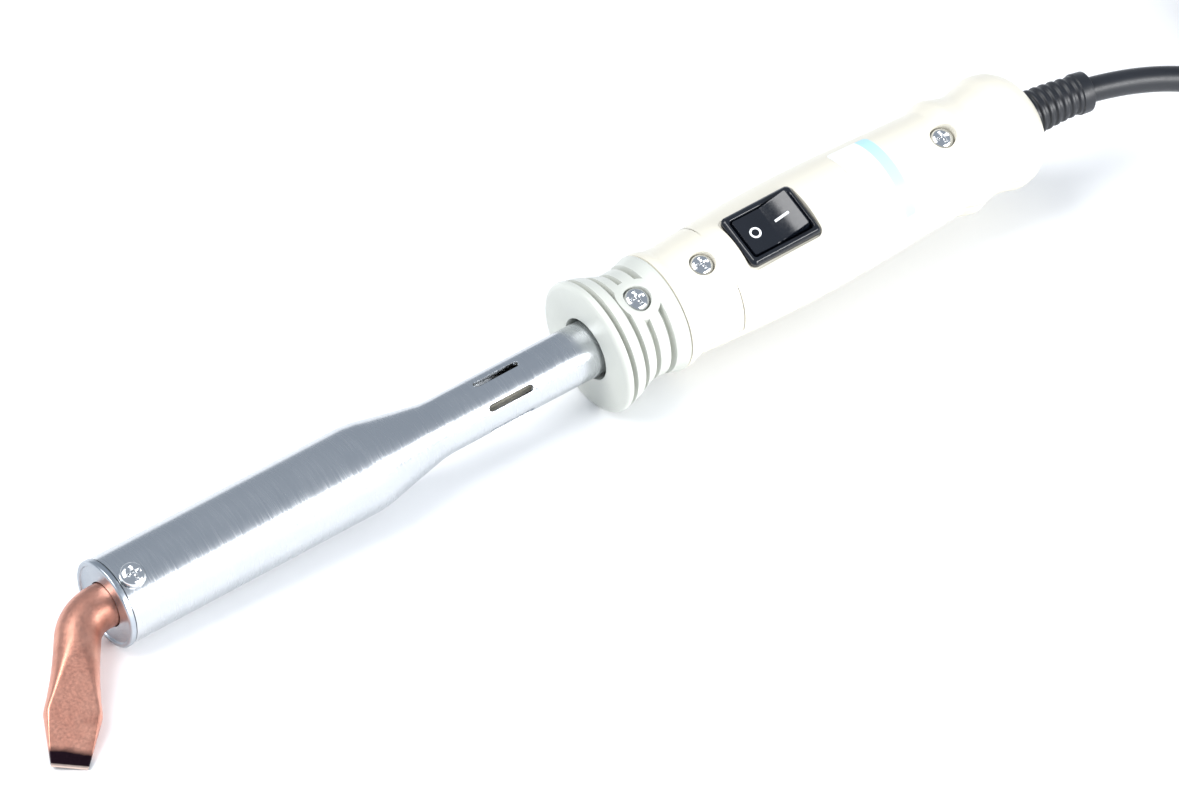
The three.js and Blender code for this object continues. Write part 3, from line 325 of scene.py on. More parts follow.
# [name, place, aims at, size along x, size along y, watts, colour]
softBoxes = [
    ("front softbox", (0.75, -1.75, 0.75), (0, 0, 0.02), 1.9, 0.75, 52, 0xFFFFFF),
    ("overhead softbox", (-1.3, 0.5, 2.1), (0, 0, 0), 1.8, 1.8, 70, 0xFFFFFF),
]
for name, place, aim, width, depth, watts, shade in softBoxes:
    light = bpy.data.lights.new(name, "AREA")
    light.shape = "RECTANGLE"
    light.size, light.size_y = width, depth
    light.energy = watts
    light.color = colour(shade)[:3]
    lamp = bpy.data.objects.new(name, light)
    lamp.location = place
    lamp.rotation_euler = (Vector(aim) - Vector(place)).to_track_quat("-Z", "Y").to_euler()
    bpy.context.collection.objects.link(lamp)
print("camera, floor and lights ready")


# ---- shapes ----

# Rounds the corners of a line of points: each becomes the quadratic curve
# (1-t)^2 a + 2t(1-t) p + t^2 b, with a and b `radius` before and after it.
def softCorners(line, radius, steps=4, closed=False):
    line = np.asarray(line, float)
    back, ahead = np.roll(line, 1, 0) - line, np.roll(line, -1, 0) - line
    backLength = np.linalg.norm(back, axis=1, keepdims=True) + 1e-9
    aheadLength = np.linalg.norm(ahead, axis=1, keepdims=True) + 1e-9
    reach = np.minimum(radius, 0.46 * np.minimum(backLength, aheadLength))
    start = (line + back / backLength * reach)[:, None]
    end = (line + ahead / aheadLength * reach)[:, None]
    t = np.linspace(0, 1, steps)[None, :, None]
    curve = (1 - t) ** 2 * start + 2 * t * (1 - t) * line[:, None] + t**2 * end
    if closed:
        return curve.reshape(-1, line.shape[1])
    inner = curve[1:-1].reshape(-1, line.shape[1])
    return np.vstack([line[:1], inner, line[-1:]])


def lengthAlong(line):
    steps = np.linalg.norm(np.diff(line, axis=0), axis=1)
    return np.concatenate([[0], np.cumsum(steps)])


# Points at even steps along a line.
def evenly(line, step):
    length = lengthAlong(line)
    fine = np.linspace(0, length[-1], max(2, int(round(length[-1] / step)) + 1))
    return np.column_stack([np.interp(fine, length, column) for column in np.asarray(line).T])


# A smooth curve y(x) that never overshoots its knots: cubic Hermite pieces whose slope at a
# knot is the harmonic mean of its neighbours', or 0 at a turning point.
def throughKnots(knots, x):
    knots = np.asarray(knots, float)
    step, rise = np.diff(knots[:, 0]), np.diff(knots[:, 1])
    slope = rise / step
    same = slope[1:] * slope[:-1] > 0
    total = np.where(same, slope[1:] + slope[:-1], 1)
    inner = np.where(same, 2 * slope[1:] * slope[:-1] / total, 0)
    tangent = np.concatenate([[slope[0]], inner, [slope[-1]]])
    i = np.clip(np.searchsorted(knots[:, 0], x, side="right") - 1, 0, len(step) - 1)
    u = (x - knots[i, 0]) / step[i]
    return (
        knots[i, 1] * (1 + 2 * u) * (1 - u) ** 2
        + step[i] * tangent[i] * u * (1 - u) ** 2
        + knots[i + 1, 1] * u**2 * (3 - 2 * u)
        + step[i] * tangent[i + 1] * u**2 * (u - 1)
    )


def smoothStep(value):
    value = np.clip(value, 0, 1)
    return value * value * (3 - 2 * value)


# A surface of revolution: row i turns the profile's point (x, r) to (x, -r sin t, r cos t).
def turned(profile, sides=96):
    profile = np.asarray(profile, float)
    turn = np.linspace(0, 2 * np.pi, sides, endpoint=False)
    x, r = profile[:, :1], profile[:, 1:]
    return np.stack([x + 0 * turn, -r * np.sin(turn), r * np.cos(turn)], -1), True


# A skin of revolution with openings on its ridge. It runs from the ridge (turn `middle`) to
# `limit` on both sides. Along the ridge its edge follows each opening's outline (x, half
# width), and from there the rows lean out over `spread` mm of the profile to even spacing.
# `plane` ends both sides at that height over the parting plane, with `rounding` on the edge.
def ridgedSkin(profile, openings=(), middle=0.0, limit=np.pi, columns=48, spread=0.0, plane=None,
               rounding=0.0):
    profile = np.asarray(profile, float)
    length = lengthAlong(profile)
    rows = np.column_stack([length, 0 * length])
    spans = []
    for outline in openings:
        places = np.interp(outline[:, 0], profile[:, 0], length)
        before = rows[rows[:, 0] < places[0] - 0.03]
        after = rows[rows[:, 0] > places[-1] + 0.03]
        rows = np.vstack([before, np.column_stack([places, outline[:, 1]]), after])
        spans.append((places[0] - spread, places[-1] + spread))
    far = rows[:, 0].copy()
    for start, end in spans if spread else ():
        inside = np.flatnonzero((rows[:, 0] >= start) & (rows[:, 0] <= end))
        run = lengthAlong(rows[inside])
        far[inside] = rows[inside[0], 0] + run / run[-1] * np.ptp(rows[inside, 0])
    share = np.linspace(0, 1, columns)
    nearRadius = np.interp(rows[:, 0], length, profile[:, 1])
    nearTurn = np.arcsin(np.clip(rows[:, 1] / nearRadius, -1, 1))[:, None]
    place = rows[:, :1] + (far - rows[:, 0])[:, None] * smoothStep(1.8 * share)
    x = np.interp(place, length, profile[:, 0])
    r = np.interp(place, length, profile[:, 1])
    last = np.arccos(plane / r[:, -1:]) if plane is not None else limit
    turn = nearTurn + (last - nearTurn) * share
    if rounding:
        ends = rounding * np.array([[0.3, 1.0]])
        r = np.hstack([r[:, :-1], r[:, -1:] - ends])
        edge = turn[:, -1:] - rounding * np.array([[0.3, 0.0]]) / r[:, -2:]
        edge[:, 1:] = np.arccos(np.clip(plane / r[:, -1:], -1, 1))
        x = np.hstack([x, x[:, -1:]])
        turn = np.hstack([turn[:, :-1], edge])
        turn[:, -3] = turn[:, -2] - 0.7 * rounding / r[:, -2]
    sheets = []
    for side in (1, -1):
        angle = middle + side * turn
        sheets.append((np.stack([x, -r * np.sin(angle), r * np.cos(angle)], -1), False))
    return sheets


# Height of a skin of revolution over the points of an outline: sqrt(r(x)^2 - y^2).
def heightOn(profile, outline):
    radius = np.interp(outline[:, 0], profile[:, 0], profile[:, 1])
    return np.sqrt(np.maximum(radius**2 - outline[:, 1] ** 2, 0))


# Walls of an opening: rings of (half outline, height) joined in order, turned to `middle`.
def ringWalls(levels, middle=0.0):
    rings = []
    for outline, height in levels:
        ring = np.column_stack([outline, np.broadcast_to(height, len(outline))])
        rings.append(np.vstack([ring, ring[-2:0:-1] * [1, -1, 1]]))
    rings = np.array(rings)
    y, z = rings[..., 1], rings[..., 2]
    turnedY = y * math.cos(middle) - z * math.sin(middle)
    turnedZ = y * math.sin(middle) + z * math.cos(middle)
    return np.stack([rings[..., 0], turnedY, turnedZ], -1), True


def halfCircle(centre, radius, count=33):
    angle = np.linspace(np.pi, 0, count)
    return np.column_stack([centre + radius * np.cos(angle), np.abs(radius * np.sin(angle))])


# Half outline of a slot with round ends.
def halfSlot(centre, halfLength, halfWidth, count=14):
    angle = np.linspace(0, np.pi / 2, count)
    end = halfLength - halfWidth
    leftX, height = -end - halfWidth * np.cos(angle), halfWidth * np.sin(angle)
    straight = np.linspace(-end, end, 12)[1:-1]
    x = np.concatenate([leftX, straight, -leftX[::-1]])
    y = np.concatenate([height, 0 * straight + halfWidth, height[::-1]])
    return np.column_stack([centre + x, y])


# Half outline of a rectangle with round corners: up one short side, along, and down the other.
def halfRectangle(centre, halfX, halfY, corner, count=7):
    angle = np.linspace(0, np.pi / 2, count)
    side = np.linspace(0, halfY - corner, 12)[:-1]
    arcX = -halfX + corner - corner * np.cos(angle)
    arcY = halfY - corner + corner * np.sin(angle)
    top = np.linspace(-halfX + corner, halfX - corner, 26)[1:-1]
    x = np.concatenate([0 * side - halfX, arcX, top, -arcX[::-1], 0 * side + halfX])
    y = np.concatenate([side, arcY, 0 * top + halfY, arcY[::-1], side[::-1]])
    return np.column_stack([centre + x, y])


# Rings of round-cornered rectangles, one for each level (half x, half y, corner, height).
def rectangleRings(levels, count=7):
    levels = np.asarray(levels, float)
    halfX, halfY, corner, height = (levels[:, i : i + 1] for i in range(4))
    angle = np.concatenate([np.linspace(0, np.pi / 2, count) + i * np.pi / 2 for i in range(4)])
    quarter = np.repeat(np.arange(4), count)
    signX = np.array([1, -1, -1, 1])[quarter]
    signY = np.array([1, 1, -1, -1])[quarter]
    x = signX * (halfX - corner) + corner * np.cos(angle)
    y = signY * (halfY - corner) + corner * np.sin(angle)
    return np.stack([x, y, height + 0 * x], -1), True


# Rings square to a path: point = path + radius (across cos t + up sin t).
def alongPath(path, radii, sides=24):
    path = np.asarray(path, float)
    forward = np.gradient(path, axis=0)
    forward /= np.linalg.norm(forward, axis=1, keepdims=True)
    sideways = np.cross([0, 0, 1], forward)
    sideways /= np.linalg.norm(sideways, axis=1, keepdims=True)
    over = np.cross(forward, sideways)
    turn = np.linspace(0, 2 * np.pi, sides, endpoint=False)[None, :, None]
    ring = sideways[:, None] * np.cos(turn) + over[:, None] * np.sin(turn)
    return path[:, None] + np.asarray(radii, float).reshape(-1, 1, 1) * ring, True


# Puts local points (x, y, z), z standing out of the barrel, at a place and turn on it.
def onBarrel(sheets, place, turn=0.0, height=0.0):
    placed = []
    for points, wrap in sheets:
        x, y, z = points[..., 0] + place, points[..., 1], points[..., 2] + height
        turnedY = y * math.cos(turn) - z * math.sin(turn)
        turnedZ = y * math.sin(turn) + z * math.cos(turn)
        placed.append((np.stack([x, turnedY, turnedZ], -1), wrap))
    return placed


# Makes a mesh object of grids of points in metres. Seams and poles are merged, flat holes are
# filled, faces turn outwards, and edges sharper than `sharp` degrees stay crisp.
def makePiece(name, sheets, material, body="iron", stands=(), sharp=32, fillHoles=False,
              toRow=fromIron):
    points, faces, first = [], [], 0
    for grid, wrap in sheets:
        rows, columns = grid.shape[:2]
        number = first + np.arange(rows * columns).reshape(rows, columns)
        if wrap:
            number = np.hstack([number, number[:, :1]])
        quads = [number[:-1, :-1], number[1:, :-1], number[1:, 1:], number[:-1, 1:]]
        faces.append(np.stack(quads, -1).reshape(-1, 4))
        points.append(toRow(grid).reshape(-1, 3))
        first += rows * columns
    mesh = bpy.data.meshes.new(name)
    mesh.from_pydata(np.vstack(points).tolist(), [], np.vstack(faces).tolist())
    work = bmesh.new()
    work.from_mesh(mesh)
    bmesh.ops.remove_doubles(work, verts=work.verts, dist=4e-6)
    bmesh.ops.dissolve_degenerate(work, edges=work.edges, dist=1e-6)
    if fillHoles:
        open_ = [edge for edge in work.edges if edge.is_boundary]
        bmesh.ops.holes_fill(work, edges=open_, sides=0)
    bmesh.ops.recalc_face_normals(work, faces=work.faces)
    work.to_mesh(mesh)
    work.free()
    mesh.shade_smooth()
    mesh.set_sharp_from_angle(angle=math.radians(sharp))
    mesh.materials.append(material)
    piece = bpy.data.objects.new(name, mesh)
    bpy.context.collection.objects.link(piece)
    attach(piece, body)
    if stands:
        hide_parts(*stands)
    return piece


# ---- cord: boot, free cord, coil, tail ----

cordSet = {
    "radius": 3.25,
    "liftedAxis": 22.935,  # iron's axis over the table at the handle's end
    "lying": 3.6,  # cord's middle over the table
    "innerEnd": 257.5,
    "bootStart": 268.6,
    "step": 1.0,
    "coilMiddle": 32.5,
    "coilReach": 42.55,  # coil's centre to the end of the lead
    "entryTurn": -110,
    "wound": 1890,
    "lowLayer": 4.25,
    "lane": 6.5,
    "blend": 120,  # turn over which the cord moves to the next lane or layer
    "tuck": 5,  # free cord inside the boot's end
    "inPlug": 9,
}
# [behind the handle, across, share of the drop from the iron's axis to the table]
leadRoute = np.array([
    [5.4, -0.1, 1.001], [11.4, -0.5, 0.998], [17.8, -1.1, 0.978], [23.9, -1.8, 0.936],
    [31.9, -3, 0.854], [39.9, -4.6, 0.74], [48.9, -7, 0.574], [58.9, -10.6, 0.378],
    [68.4, -15.8, 0.191], [77.2, -22.4, 0.06], [85, -28.6, 0.006], [93, -32.6, 0],
])
# the tail leaves the coil's top, runs straight to a second circle and ends at the plug's neck
tailSet = {"leaves": -20, "circleX": -18, "circleRadius": 27, "plugX": -14, "plugHeight": 38.8}


# A smooth curve through points: cubic pieces on the square root of their spacing.
def smoothPath(points, step):
    points = np.asarray(points, float)
    spacing = np.linalg.norm(np.diff(points, axis=0), axis=1) ** 0.5
    t = np.concatenate([[0], np.cumsum(spacing)])
    tangent = np.gradient(points, t, axis=0)
    fine = np.linspace(0, t[-1], 40 * len(points))
    i = np.clip(np.searchsorted(t, fine, side="right") - 1, 0, len(spacing) - 1)
    u, h = ((fine - t[i]) / spacing[i])[:, None], spacing[i][:, None]
    curve = (
        points[i] * (1 + 2 * u) * (1 - u) ** 2
        + h * tangent[i] * u * (1 - u) ** 2
        + points[i + 1] * u**2 * (3 - 2 * u)
        + h * tangent[i + 1] * u**2 * (u - 1)
    )
    return evenly(curve, step)


# The coil: r and z are functions of the turn from the entry. Two lanes lie on the table, two on
# them and two on those; the cord moves over to the other lane once in each layer.
def coilRoute(centre):
    lane, blend = cordSet["lane"], cordSet["blend"]
    turn = np.concatenate([[0, 12, 25, 38], np.linspace(52, cordSet["wound"], 124)])
    outer = cordSet["coilMiddle"] + lane / 2
    r = outer + (cordSet["coilReach"] - outer) * (1 - np.clip(turn / 50, 0, 1)) ** 2
    r -= lane * (smoothStep((turn - 270) / blend) - smoothStep((turn - 918) / blend))
    r -= lane * smoothStep((turn - 1566) / blend)
    z = cordSet["lowLayer"] + lane * smoothStep((turn - 594) / blend)
    z += lane * smoothStep((turn - 1242) / blend)
    z -= (cordSet["lowLayer"] - cordSet["lying"]) * (1 - smoothStep(turn / 40))
    angle = np.radians(cordSet["entryTurn"] + turn)
    return np.column_stack([centre[0] + r * np.cos(angle), centre[1] + r * np.sin(angle), z])


# The tail: an arc on the coil's inner lane, the common tangent and an arc on the second
# circle, climbing as z = top layer + rise * smooth step of the share of its length.
def tailRoute(centre):
    inner = cordSet["coilMiddle"] - cordSet["lane"] / 2
    second, offset = tailSet["circleRadius"], tailSet["circleX"]
    touch = math.acos((inner - second) / offset)
    first = np.linspace(math.radians(tailSet["leaves"]), touch, 9)
    last = np.linspace(touch, 1.5 * math.pi, 12)
    flat = np.vstack([
        inner * np.column_stack([np.cos(first), np.sin(first)]),
        second * np.column_stack([np.cos(last), np.sin(last)]) + [offset, 0],
    ])
    topLayer = cordSet["lowLayer"] + 2 * cordSet["lane"]
    share = lengthAlong(flat) / lengthAlong(flat)[-1]
    z = topLayer + (tailSet["plugHeight"] - topLayer) * smoothStep(share)
    return np.column_stack([flat + centre, z])


drop = cordSet["liftedAxis"] - cordSet["lying"]
lead = np.column_stack([
    layout["handleEnd"] + leadRoute[:, 0], leadRoute[:, 1], cordSet["lying"] + leadRoute[:, 2] * drop,
])
entry = math.radians(cordSet["entryTurn"])
coilCentre = lead[-1, :2] - cordSet["coilReach"] * np.array([math.cos(entry), math.sin(entry)])
tail = tailRoute(coilCentre)
plugPlace = tail[-1] + [tailSet["plugX"] - tailSet["circleX"], 0, 0]
plugEntry = plugPlace + [cordSet["inPlug"], 0, 0]


# A point of the iron's axis in the table's frame, in millimetres.
def onAxis(place):
    return (fromIron([place, 0, 0]) - tableOrigin) / millimetre


axisPoints = [onAxis(cordSet[key]) for key in ("innerEnd", "bootStart")] + [onAxis(layout["handleEnd"])]
wholeRoute = smoothPath(
    np.vstack([axisPoints, lead[:-1], coilRoute(coilCentre), tail[1:], [plugPlace, plugEntry]]),
    cordSet["step"],
)
run = lengthAlong(wholeRoute)
bootEnd = lead[2]
bootEndIndex = int(np.argmin(np.linalg.norm(wholeRoute - bootEnd, axis=1)))
split = bootEndIndex - int(cordSet["tuck"] / cordSet["step"])


# A closed round rod along a path, its ends gathered to a point.
def rod(path, radius, sides=20):
    ends = np.vstack([path[:1], path[:1] + (path[1] - path[0]) * 0.02])
    lastEnds = np.vstack([path[-1:] - (path[-1] - path[-2]) * 0.02, path[-1:]])
    full = np.vstack([ends, path[1:-1], lastEnds])
    wide = np.full(len(full), float(radius))
    wide[[0, -1]] = 0
    return alongPath(full, wide, sides)


makePiece(
    "cord_inner", [rod(wholeRoute[: split + 1], cordSet["radius"])], finishes["black PVC"],
    toRow=fromTable,
)
freePath = wholeRoute[split:]
freeCord = makePiece(
    "mains_cord_jacket", [rod(freePath, cordSet["radius"], 18)], finishes["black PVC"],
    stands=["mains_cord", "cord_coil", "cord_tail"], toRow=fromTable,
)

bootSet = {
    "flange": (8.5, 2.6), "root": 5.9, "tip": 4.95, "ribs": 6, "ribDepth": 0.55,
    "ring": (5.3, 3.1), "bore": 3.4, "corner": 0.28,
}


# The boot: radius against distance, a flange, then ribs that shrink towards the cord.
def bootOutline(wallEnd, end):
    root, tip, ribs = bootSet["root"], bootSet["tip"], bootSet["ribs"]
    flange, flangeLength = bootSet["flange"]
    ring, ringLength = bootSet["ring"]
    ribLength = (end - ringLength - 0.1 - wallEnd) / ribs
    start = wallEnd + ribLength * np.arange(ribs)[:, None]
    radius = root + (tip - root) * (np.arange(ribs)[:, None] + 1) / ribs
    ribX = start + ribLength * np.array([[0.02, 0.45, 0.6, 0.99]])
    ribR = radius - bootSet["ribDepth"] * np.array([[1, 1, 0, 0]])
    ribbed = np.stack([ribX, ribR], -1).reshape(-1, 2)
    outer = [
        [0, bootSet["bore"]], [0, flange], [flangeLength, flange], [flangeLength + 0.05, root],
        [wallEnd, root], *ribbed, [end - ringLength, ring], [end, ring - 0.1],
        [end, bootSet["bore"]], [0.01, bootSet["bore"]],
    ]
    return softCorners(outer, bootSet["corner"])


bootFirst = int(np.argmin(np.linalg.norm(wholeRoute - onAxis(cordSet["bootStart"]), axis=1)))
bootRun = run[bootEndIndex] - run[bootFirst]
wallEnd = layout["handleEnd"] - cordSet["bootStart"] + 1.1
outline = bootOutline(wallEnd, bootRun)
bootPath = np.column_stack([np.interp(outline[:, 0], run - run[bootFirst], column)
                            for column in wholeRoute.T])
forward = np.column_stack([
    np.interp(outline[:, 0] + 0.5, run - run[bootFirst], column)
    - np.interp(outline[:, 0] - 0.5, run - run[bootFirst], column)
    for column in wholeRoute.T
])
forward /= np.linalg.norm(forward, axis=1, keepdims=True)
sideways = np.cross([0, 0, 1], forward)
sideways /= np.linalg.norm(sideways, axis=1, keepdims=True)
over = np.cross(forward, sideways)
turnAngles = np.linspace(0, 2 * np.pi, 64, endpoint=False)[None, :, None]
bootRings = bootPath[:, None] + outline[:, 1].reshape(-1, 1, 1) * (
    sideways[:, None] * np.cos(turnAngles) + over[:, None] * np.sin(turnAngles)
)
makePiece("cord_boot_ribbed", [(bootRings, True)], finishes["black PVC"], stands=["cord_boot"],
          toRow=fromTable)

tieSet = {"half": (6.8, 10.05), "thickness": 0.6, "turn": -150, "middle": 10.75}


# The tie: a strip's section carried round a round-cornered rectangle that holds the turns.
def coilTie():
    angle = np.linspace(0, 2 * np.pi, 96, endpoint=False)
    halfX, halfZ = tieSet["half"]
    corner = 3.0
    x = np.sign(np.cos(angle)) * (halfX - corner) + corner * np.cos(angle)
    z = np.sign(np.sin(angle)) * (halfZ - corner) + corner * np.sin(angle)
    section = softCorners([[0, -3], [tieSet["thickness"], -3], [tieSet["thickness"], 3], [0, 3]], 0.2,
                          closed=True)
    section = np.vstack([section, section[:1]])
    outX, outZ = np.cos(angle), np.sin(angle)
    ringX = x + section[:, :1] * outX
    ringZ = z + section[:, :1] * outZ
    width = section[:, 1:] + 0 * angle
    turn = math.radians(tieSet["turn"])
    radial = cordSet["coilMiddle"] + ringX
    placed = np.stack([
        coilCentre[0] + radial * math.cos(turn) - width * math.sin(turn),
        coilCentre[1] + radial * math.sin(turn) + width * math.cos(turn),
        tieSet["middle"] + ringZ,
    ], -1)
    return placed, True


makePiece("coil_tie_band", [coilTie()], finishes["black nylon"], stands=["coil_tie"],
          toRow=fromTable)

plugSet = {
    "neck": [[0, 3.35], [0, 4.6], [10, 5.6], [14, 9], [18, 12.5], [24, 13.4], [28, 15.6],
             [30, 17.4], [31, 18], [41.4, 18], [42, 17.4], [42, 0]],
    "notch": (14.5, 7), "pin": 2.4, "pinSpread": 9.5, "strip": (11.2, 4.4, 1.0),
}


# Local plug points (x along the cord, y, z) turned on edge and laid on the coil.
def atPlug(sheets):
    placed = []
    for points, wrap in sheets:
        local = np.stack([points[..., 0], -points[..., 2], points[..., 1]], -1)
        placed.append((local + plugPlace, wrap))
    return placed


# The plug's skin: turned, but its flange is cut flat over two notches for the earth strips,
# where the radius is the smaller of r and the notch's floor over cos of the turn.
def plugSkin():
    profile = softCorners(plugSet["neck"], 0.6)
    profile = np.vstack([evenly(profile[i : i + 2], 0.8) for i in range(len(profile) - 1)])
    turn = np.linspace(0, 2 * np.pi, 240, endpoint=False)
    x, r = profile[:, :1], profile[:, 1:] + 0 * turn
    floor_, width = plugSet["notch"]
    overNotch = np.abs(r * np.sin(turn)) < width / 2
    flat = np.where(overNotch, floor_ / np.maximum(np.abs(np.cos(turn)), 0.2), 99)
    r = np.where(x > 29.6, np.minimum(r, np.maximum(flat, 0)), r)
    return np.stack([x + 0 * r, -r * np.sin(turn), r * np.cos(turn)], -1), True


makePiece("plug_shell", atPlug([plugSkin()]), finishes["black PVC"], stands=["plug_body"],
          toRow=fromTable)
pinRadius = plugSet["pin"]
pinLine = softCorners([[36.5, 0], [36.5, pinRadius], [59.4, pinRadius], [61, 1.2], [61, 0]], 0.5)
for side, name in ((-1, "plug_pin_left"), (1, "plug_pin_right")):
    points, wrap = turned(pinLine, 32)
    points = points + [0, side * plugSet["pinSpread"], 0]
    makePiece(name + "_nickel", atPlug([(points, wrap)]), finishes["bright nickel"], stands=[name],
              toRow=fromTable)
stripLength, stripWidth, stripThick = plugSet["strip"]
for side, name in ((-1, "plug_earth_strip_left"), (1, "plug_earth_strip_right")):
    low, high = 15.7, 15.7 + stripThick
    levels = softCorners([[0, 0, 0, low], [stripLength / 2, stripWidth / 2, 0.6, low],
                          [stripLength / 2, stripWidth / 2, 0.6, high], [0, 0, 0, high]], 0.25)
    points, wrap = rectangleRings(levels)
    points = points * [1, 1, side] + [36, 0, 0]
    makePiece(name + "_nickel", atPlug([(points, wrap)]), finishes["bright nickel"], stands=[name],
              toRow=fromTable)
print("cord, boot, tie and plug made")


# ---- copper bit ----

bitSet = {
    "radius": 5.65, "reach": 7.2, "bendRadius": 12, "bend": 52.7, "turn": 85, "leg": 42,
    "shankEnd": 68, "chisel": 32, "edgeHalf": (4.43, 0.5), "soft": 0.55,
    "widths": [[0, 4.43], [14.2, 7.04], [19.2, 6.44], [25.6, 5.87], [32, 5.65], [60, 5.65]],
}
side = np.array([0, -math.sin(math.radians(bitSet["turn"])), math.cos(math.radians(bitSet["turn"]))])
ahead = np.array([-1.0, 0, 0])
flat = np.cross(ahead, side)
bitBend = math.radians(bitSet["bend"])
legWay = ahead * math.cos(bitBend) + side * math.sin(bitBend)
crossing = np.array([-bitSet["reach"], 0, 0])


# The bit: a section carried along a straight, an arc and a straight. It is round with radius
# r until the chisel, where its height is the soft minimum of r sin t and the wedge's half
# thickness, and its width follows the knots above.
def copperBit():
    reach = bitSet["bendRadius"] * math.tan(bitBend / 2)
    arcStart = crossing - ahead * reach
    arcCentre = arcStart + side * bitSet["bendRadius"]
    shank = np.linspace(bitSet["shankEnd"], arcStart[0], 30)[:-1]
    angles = np.linspace(0, bitBend, 26)
    left = np.concatenate([
        np.linspace(bitSet["leg"] - reach, bitSet["chisel"] + 0.5, 6)[1:],
        bitSet["chisel"] * np.linspace(1, 0, 150),
    ])
    left = np.concatenate([left[left > 0.6], [0.45, 0.3, 0.18, 0.09, 0.03, 0.0]])
    middle = np.vstack([
        np.column_stack([shank, 0 * shank, 0 * shank]),
        arcCentre + bitSet["bendRadius"] * (ahead * np.sin(angles)[:, None] - side * np.cos(angles)[:, None]),
        crossing + legWay * (bitSet["leg"] - left)[:, None],
    ])
    angle = np.concatenate([0 * shank, angles, 0 * left + bitBend])
    fromEdge = np.concatenate([0 * shank + 90, 0 * angles + 60, left])
    r = bitSet["radius"]
    halfWidth = throughKnots(bitSet["widths"], np.minimum(fromEdge, 59))
    halfWidth = np.where(fromEdge < 14.2, np.interp(fromEdge, [0, 14.2], [4.43, 7.04]), halfWidth)
    thickness = np.interp(fromEdge, [0, bitSet["chisel"], 40], [bitSet["edgeHalf"][1], r, r + 2])
    roundOff = np.sqrt(np.clip(1 - np.clip(1 - fromEdge / 0.5, 0, 1) ** 2, 0, 1))
    thickness, halfWidth = thickness * roundOff, halfWidth - 0.35 * (1 - roundOff)
    across_ = np.sin(angle)[:, None] * ahead - np.cos(angle)[:, None] * side
    t = np.linspace(0, 2 * np.pi, 144, endpoint=False)
    level = r * np.abs(np.sin(t))
    soft = np.minimum(bitSet["soft"], thickness[:, None])
    near = np.clip(soft - np.abs(level - thickness[:, None]), 0, None) / np.maximum(soft, 1e-6)
    height = np.minimum(level, thickness[:, None]) - near**2 * soft / 4
    height = np.maximum(height, 0) * np.sign(np.sin(t))
    section = (halfWidth[:, None] * np.cos(t))[..., None] * across_[:, None] + height[..., None] * flat
    skin = middle[:, None] + section
    skin[-1] = middle[-1] + (halfWidth[-1] * np.cos(t))[:, None] * across_[-1]
    heel = np.repeat(middle[:1], len(t), 0)[None]
    inset = middle[:1, None] + section[:1] * 0.9 + [0.5, 0, 0]
    return np.concatenate([heel + [0.5, 0, 0], inset, skin]), True


# copper, drawn and forged: salmon pink where it is brushed, maroon where the heat has tinted it, and a dark
# oxide band behind the working edge; the thin pale line along the edge itself is a painted highlight
def heatedCopper():
    material, tree, shade, shader, place = mottled("heat-tinted copper", {
        "colours": (0xD08C78, 0xEAB29C), "roughness": (0.3, 0.46), "patch": 7, "grain": 0.7,
        "depth": 0.012, "shader": {"Metallic": 1.0},
    })
    tint = addNode(tree, "ShaderNodeTexNoise", values={"Scale": 0.11, "Detail": 5.0, "Roughness": 0.62},
                   links={"Vector": place})
    tintShare = addNode(tree, "ShaderNodeMapRange",
                        values={"From Min": 0.5, "From Max": 0.78, "To Min": 0.0, "To Max": 0.55},
                        links={"Value": tint.outputs["Fac"]})
    tinted = addNode(tree, "ShaderNodeMix", {"data_type": "RGBA"}, {"B": colour(0x8A4238)},
                     {"Factor": tintShare.outputs["Result"], "A": shade.outputs["Result"]})
    reach = addNode(tree, "ShaderNodeVectorMath", {"operation": "DOT_PRODUCT"}, {1: legWay.tolist()},
                    {0: place})
    edgeReach = float(crossing @ legWay) + bitSet["leg"]
    ragged = addNode(tree, "ShaderNodeMath", {"operation": "MULTIPLY_ADD"}, {1: 2.2, 2: -1.1},
                     {0: tint.outputs["Fac"]})
    fromEdge = addNode(tree, "ShaderNodeMath", {"operation": "SUBTRACT"}, {0: edgeReach},
                       {1: reach.outputs["Value"]})
    wavy = addNode(tree, "ShaderNodeMath", {"operation": "ADD"},
                   links={0: fromEdge.outputs["Value"], 1: ragged.outputs["Value"]})
    dark = addNode(tree, "ShaderNodeMapRange", values={"From Min": 3.2, "From Max": 5.0, "To Min": 1.0,
                                                       "To Max": 0.0},
                   links={"Value": wavy.outputs["Value"]})
    # painted highlight: a thin pale line 0.25 to 0.6 mm from the working edge, mixed over the copper's colour
    bright = addNode(tree, "ShaderNodeMapRange", values={"From Min": 0.25, "From Max": 0.6,
                                                         "To Min": 1.0, "To Max": 0.0},
                     links={"Value": fromEdge.outputs["Value"]})
    banded = addNode(tree, "ShaderNodeMix", {"data_type": "RGBA"}, {"B": colour(0x261820)},
                     {"Factor": dark.outputs["Result"], "A": tinted.outputs["Result"]})
    paintedEdgeHighlight = addNode(tree, "ShaderNodeMix", {"data_type": "RGBA"}, {"B": colour(0xD8C0B4)},
                    {"Factor": bright.outputs["Result"], "A": banded.outputs["Result"]})
    tree.links.new(paintedEdgeHighlight.outputs["Result"], shader.inputs["Base Color"])
    return material


finishes["heat-tinted copper"] = heatedCopper()
makePiece("bit_forged", [copperBit()], finishes["heat-tinted copper"], body="bit",
          stands=["copper_bit"], sharp=50)
print("bit made")


# ---- nose cap, barrel and screws ----

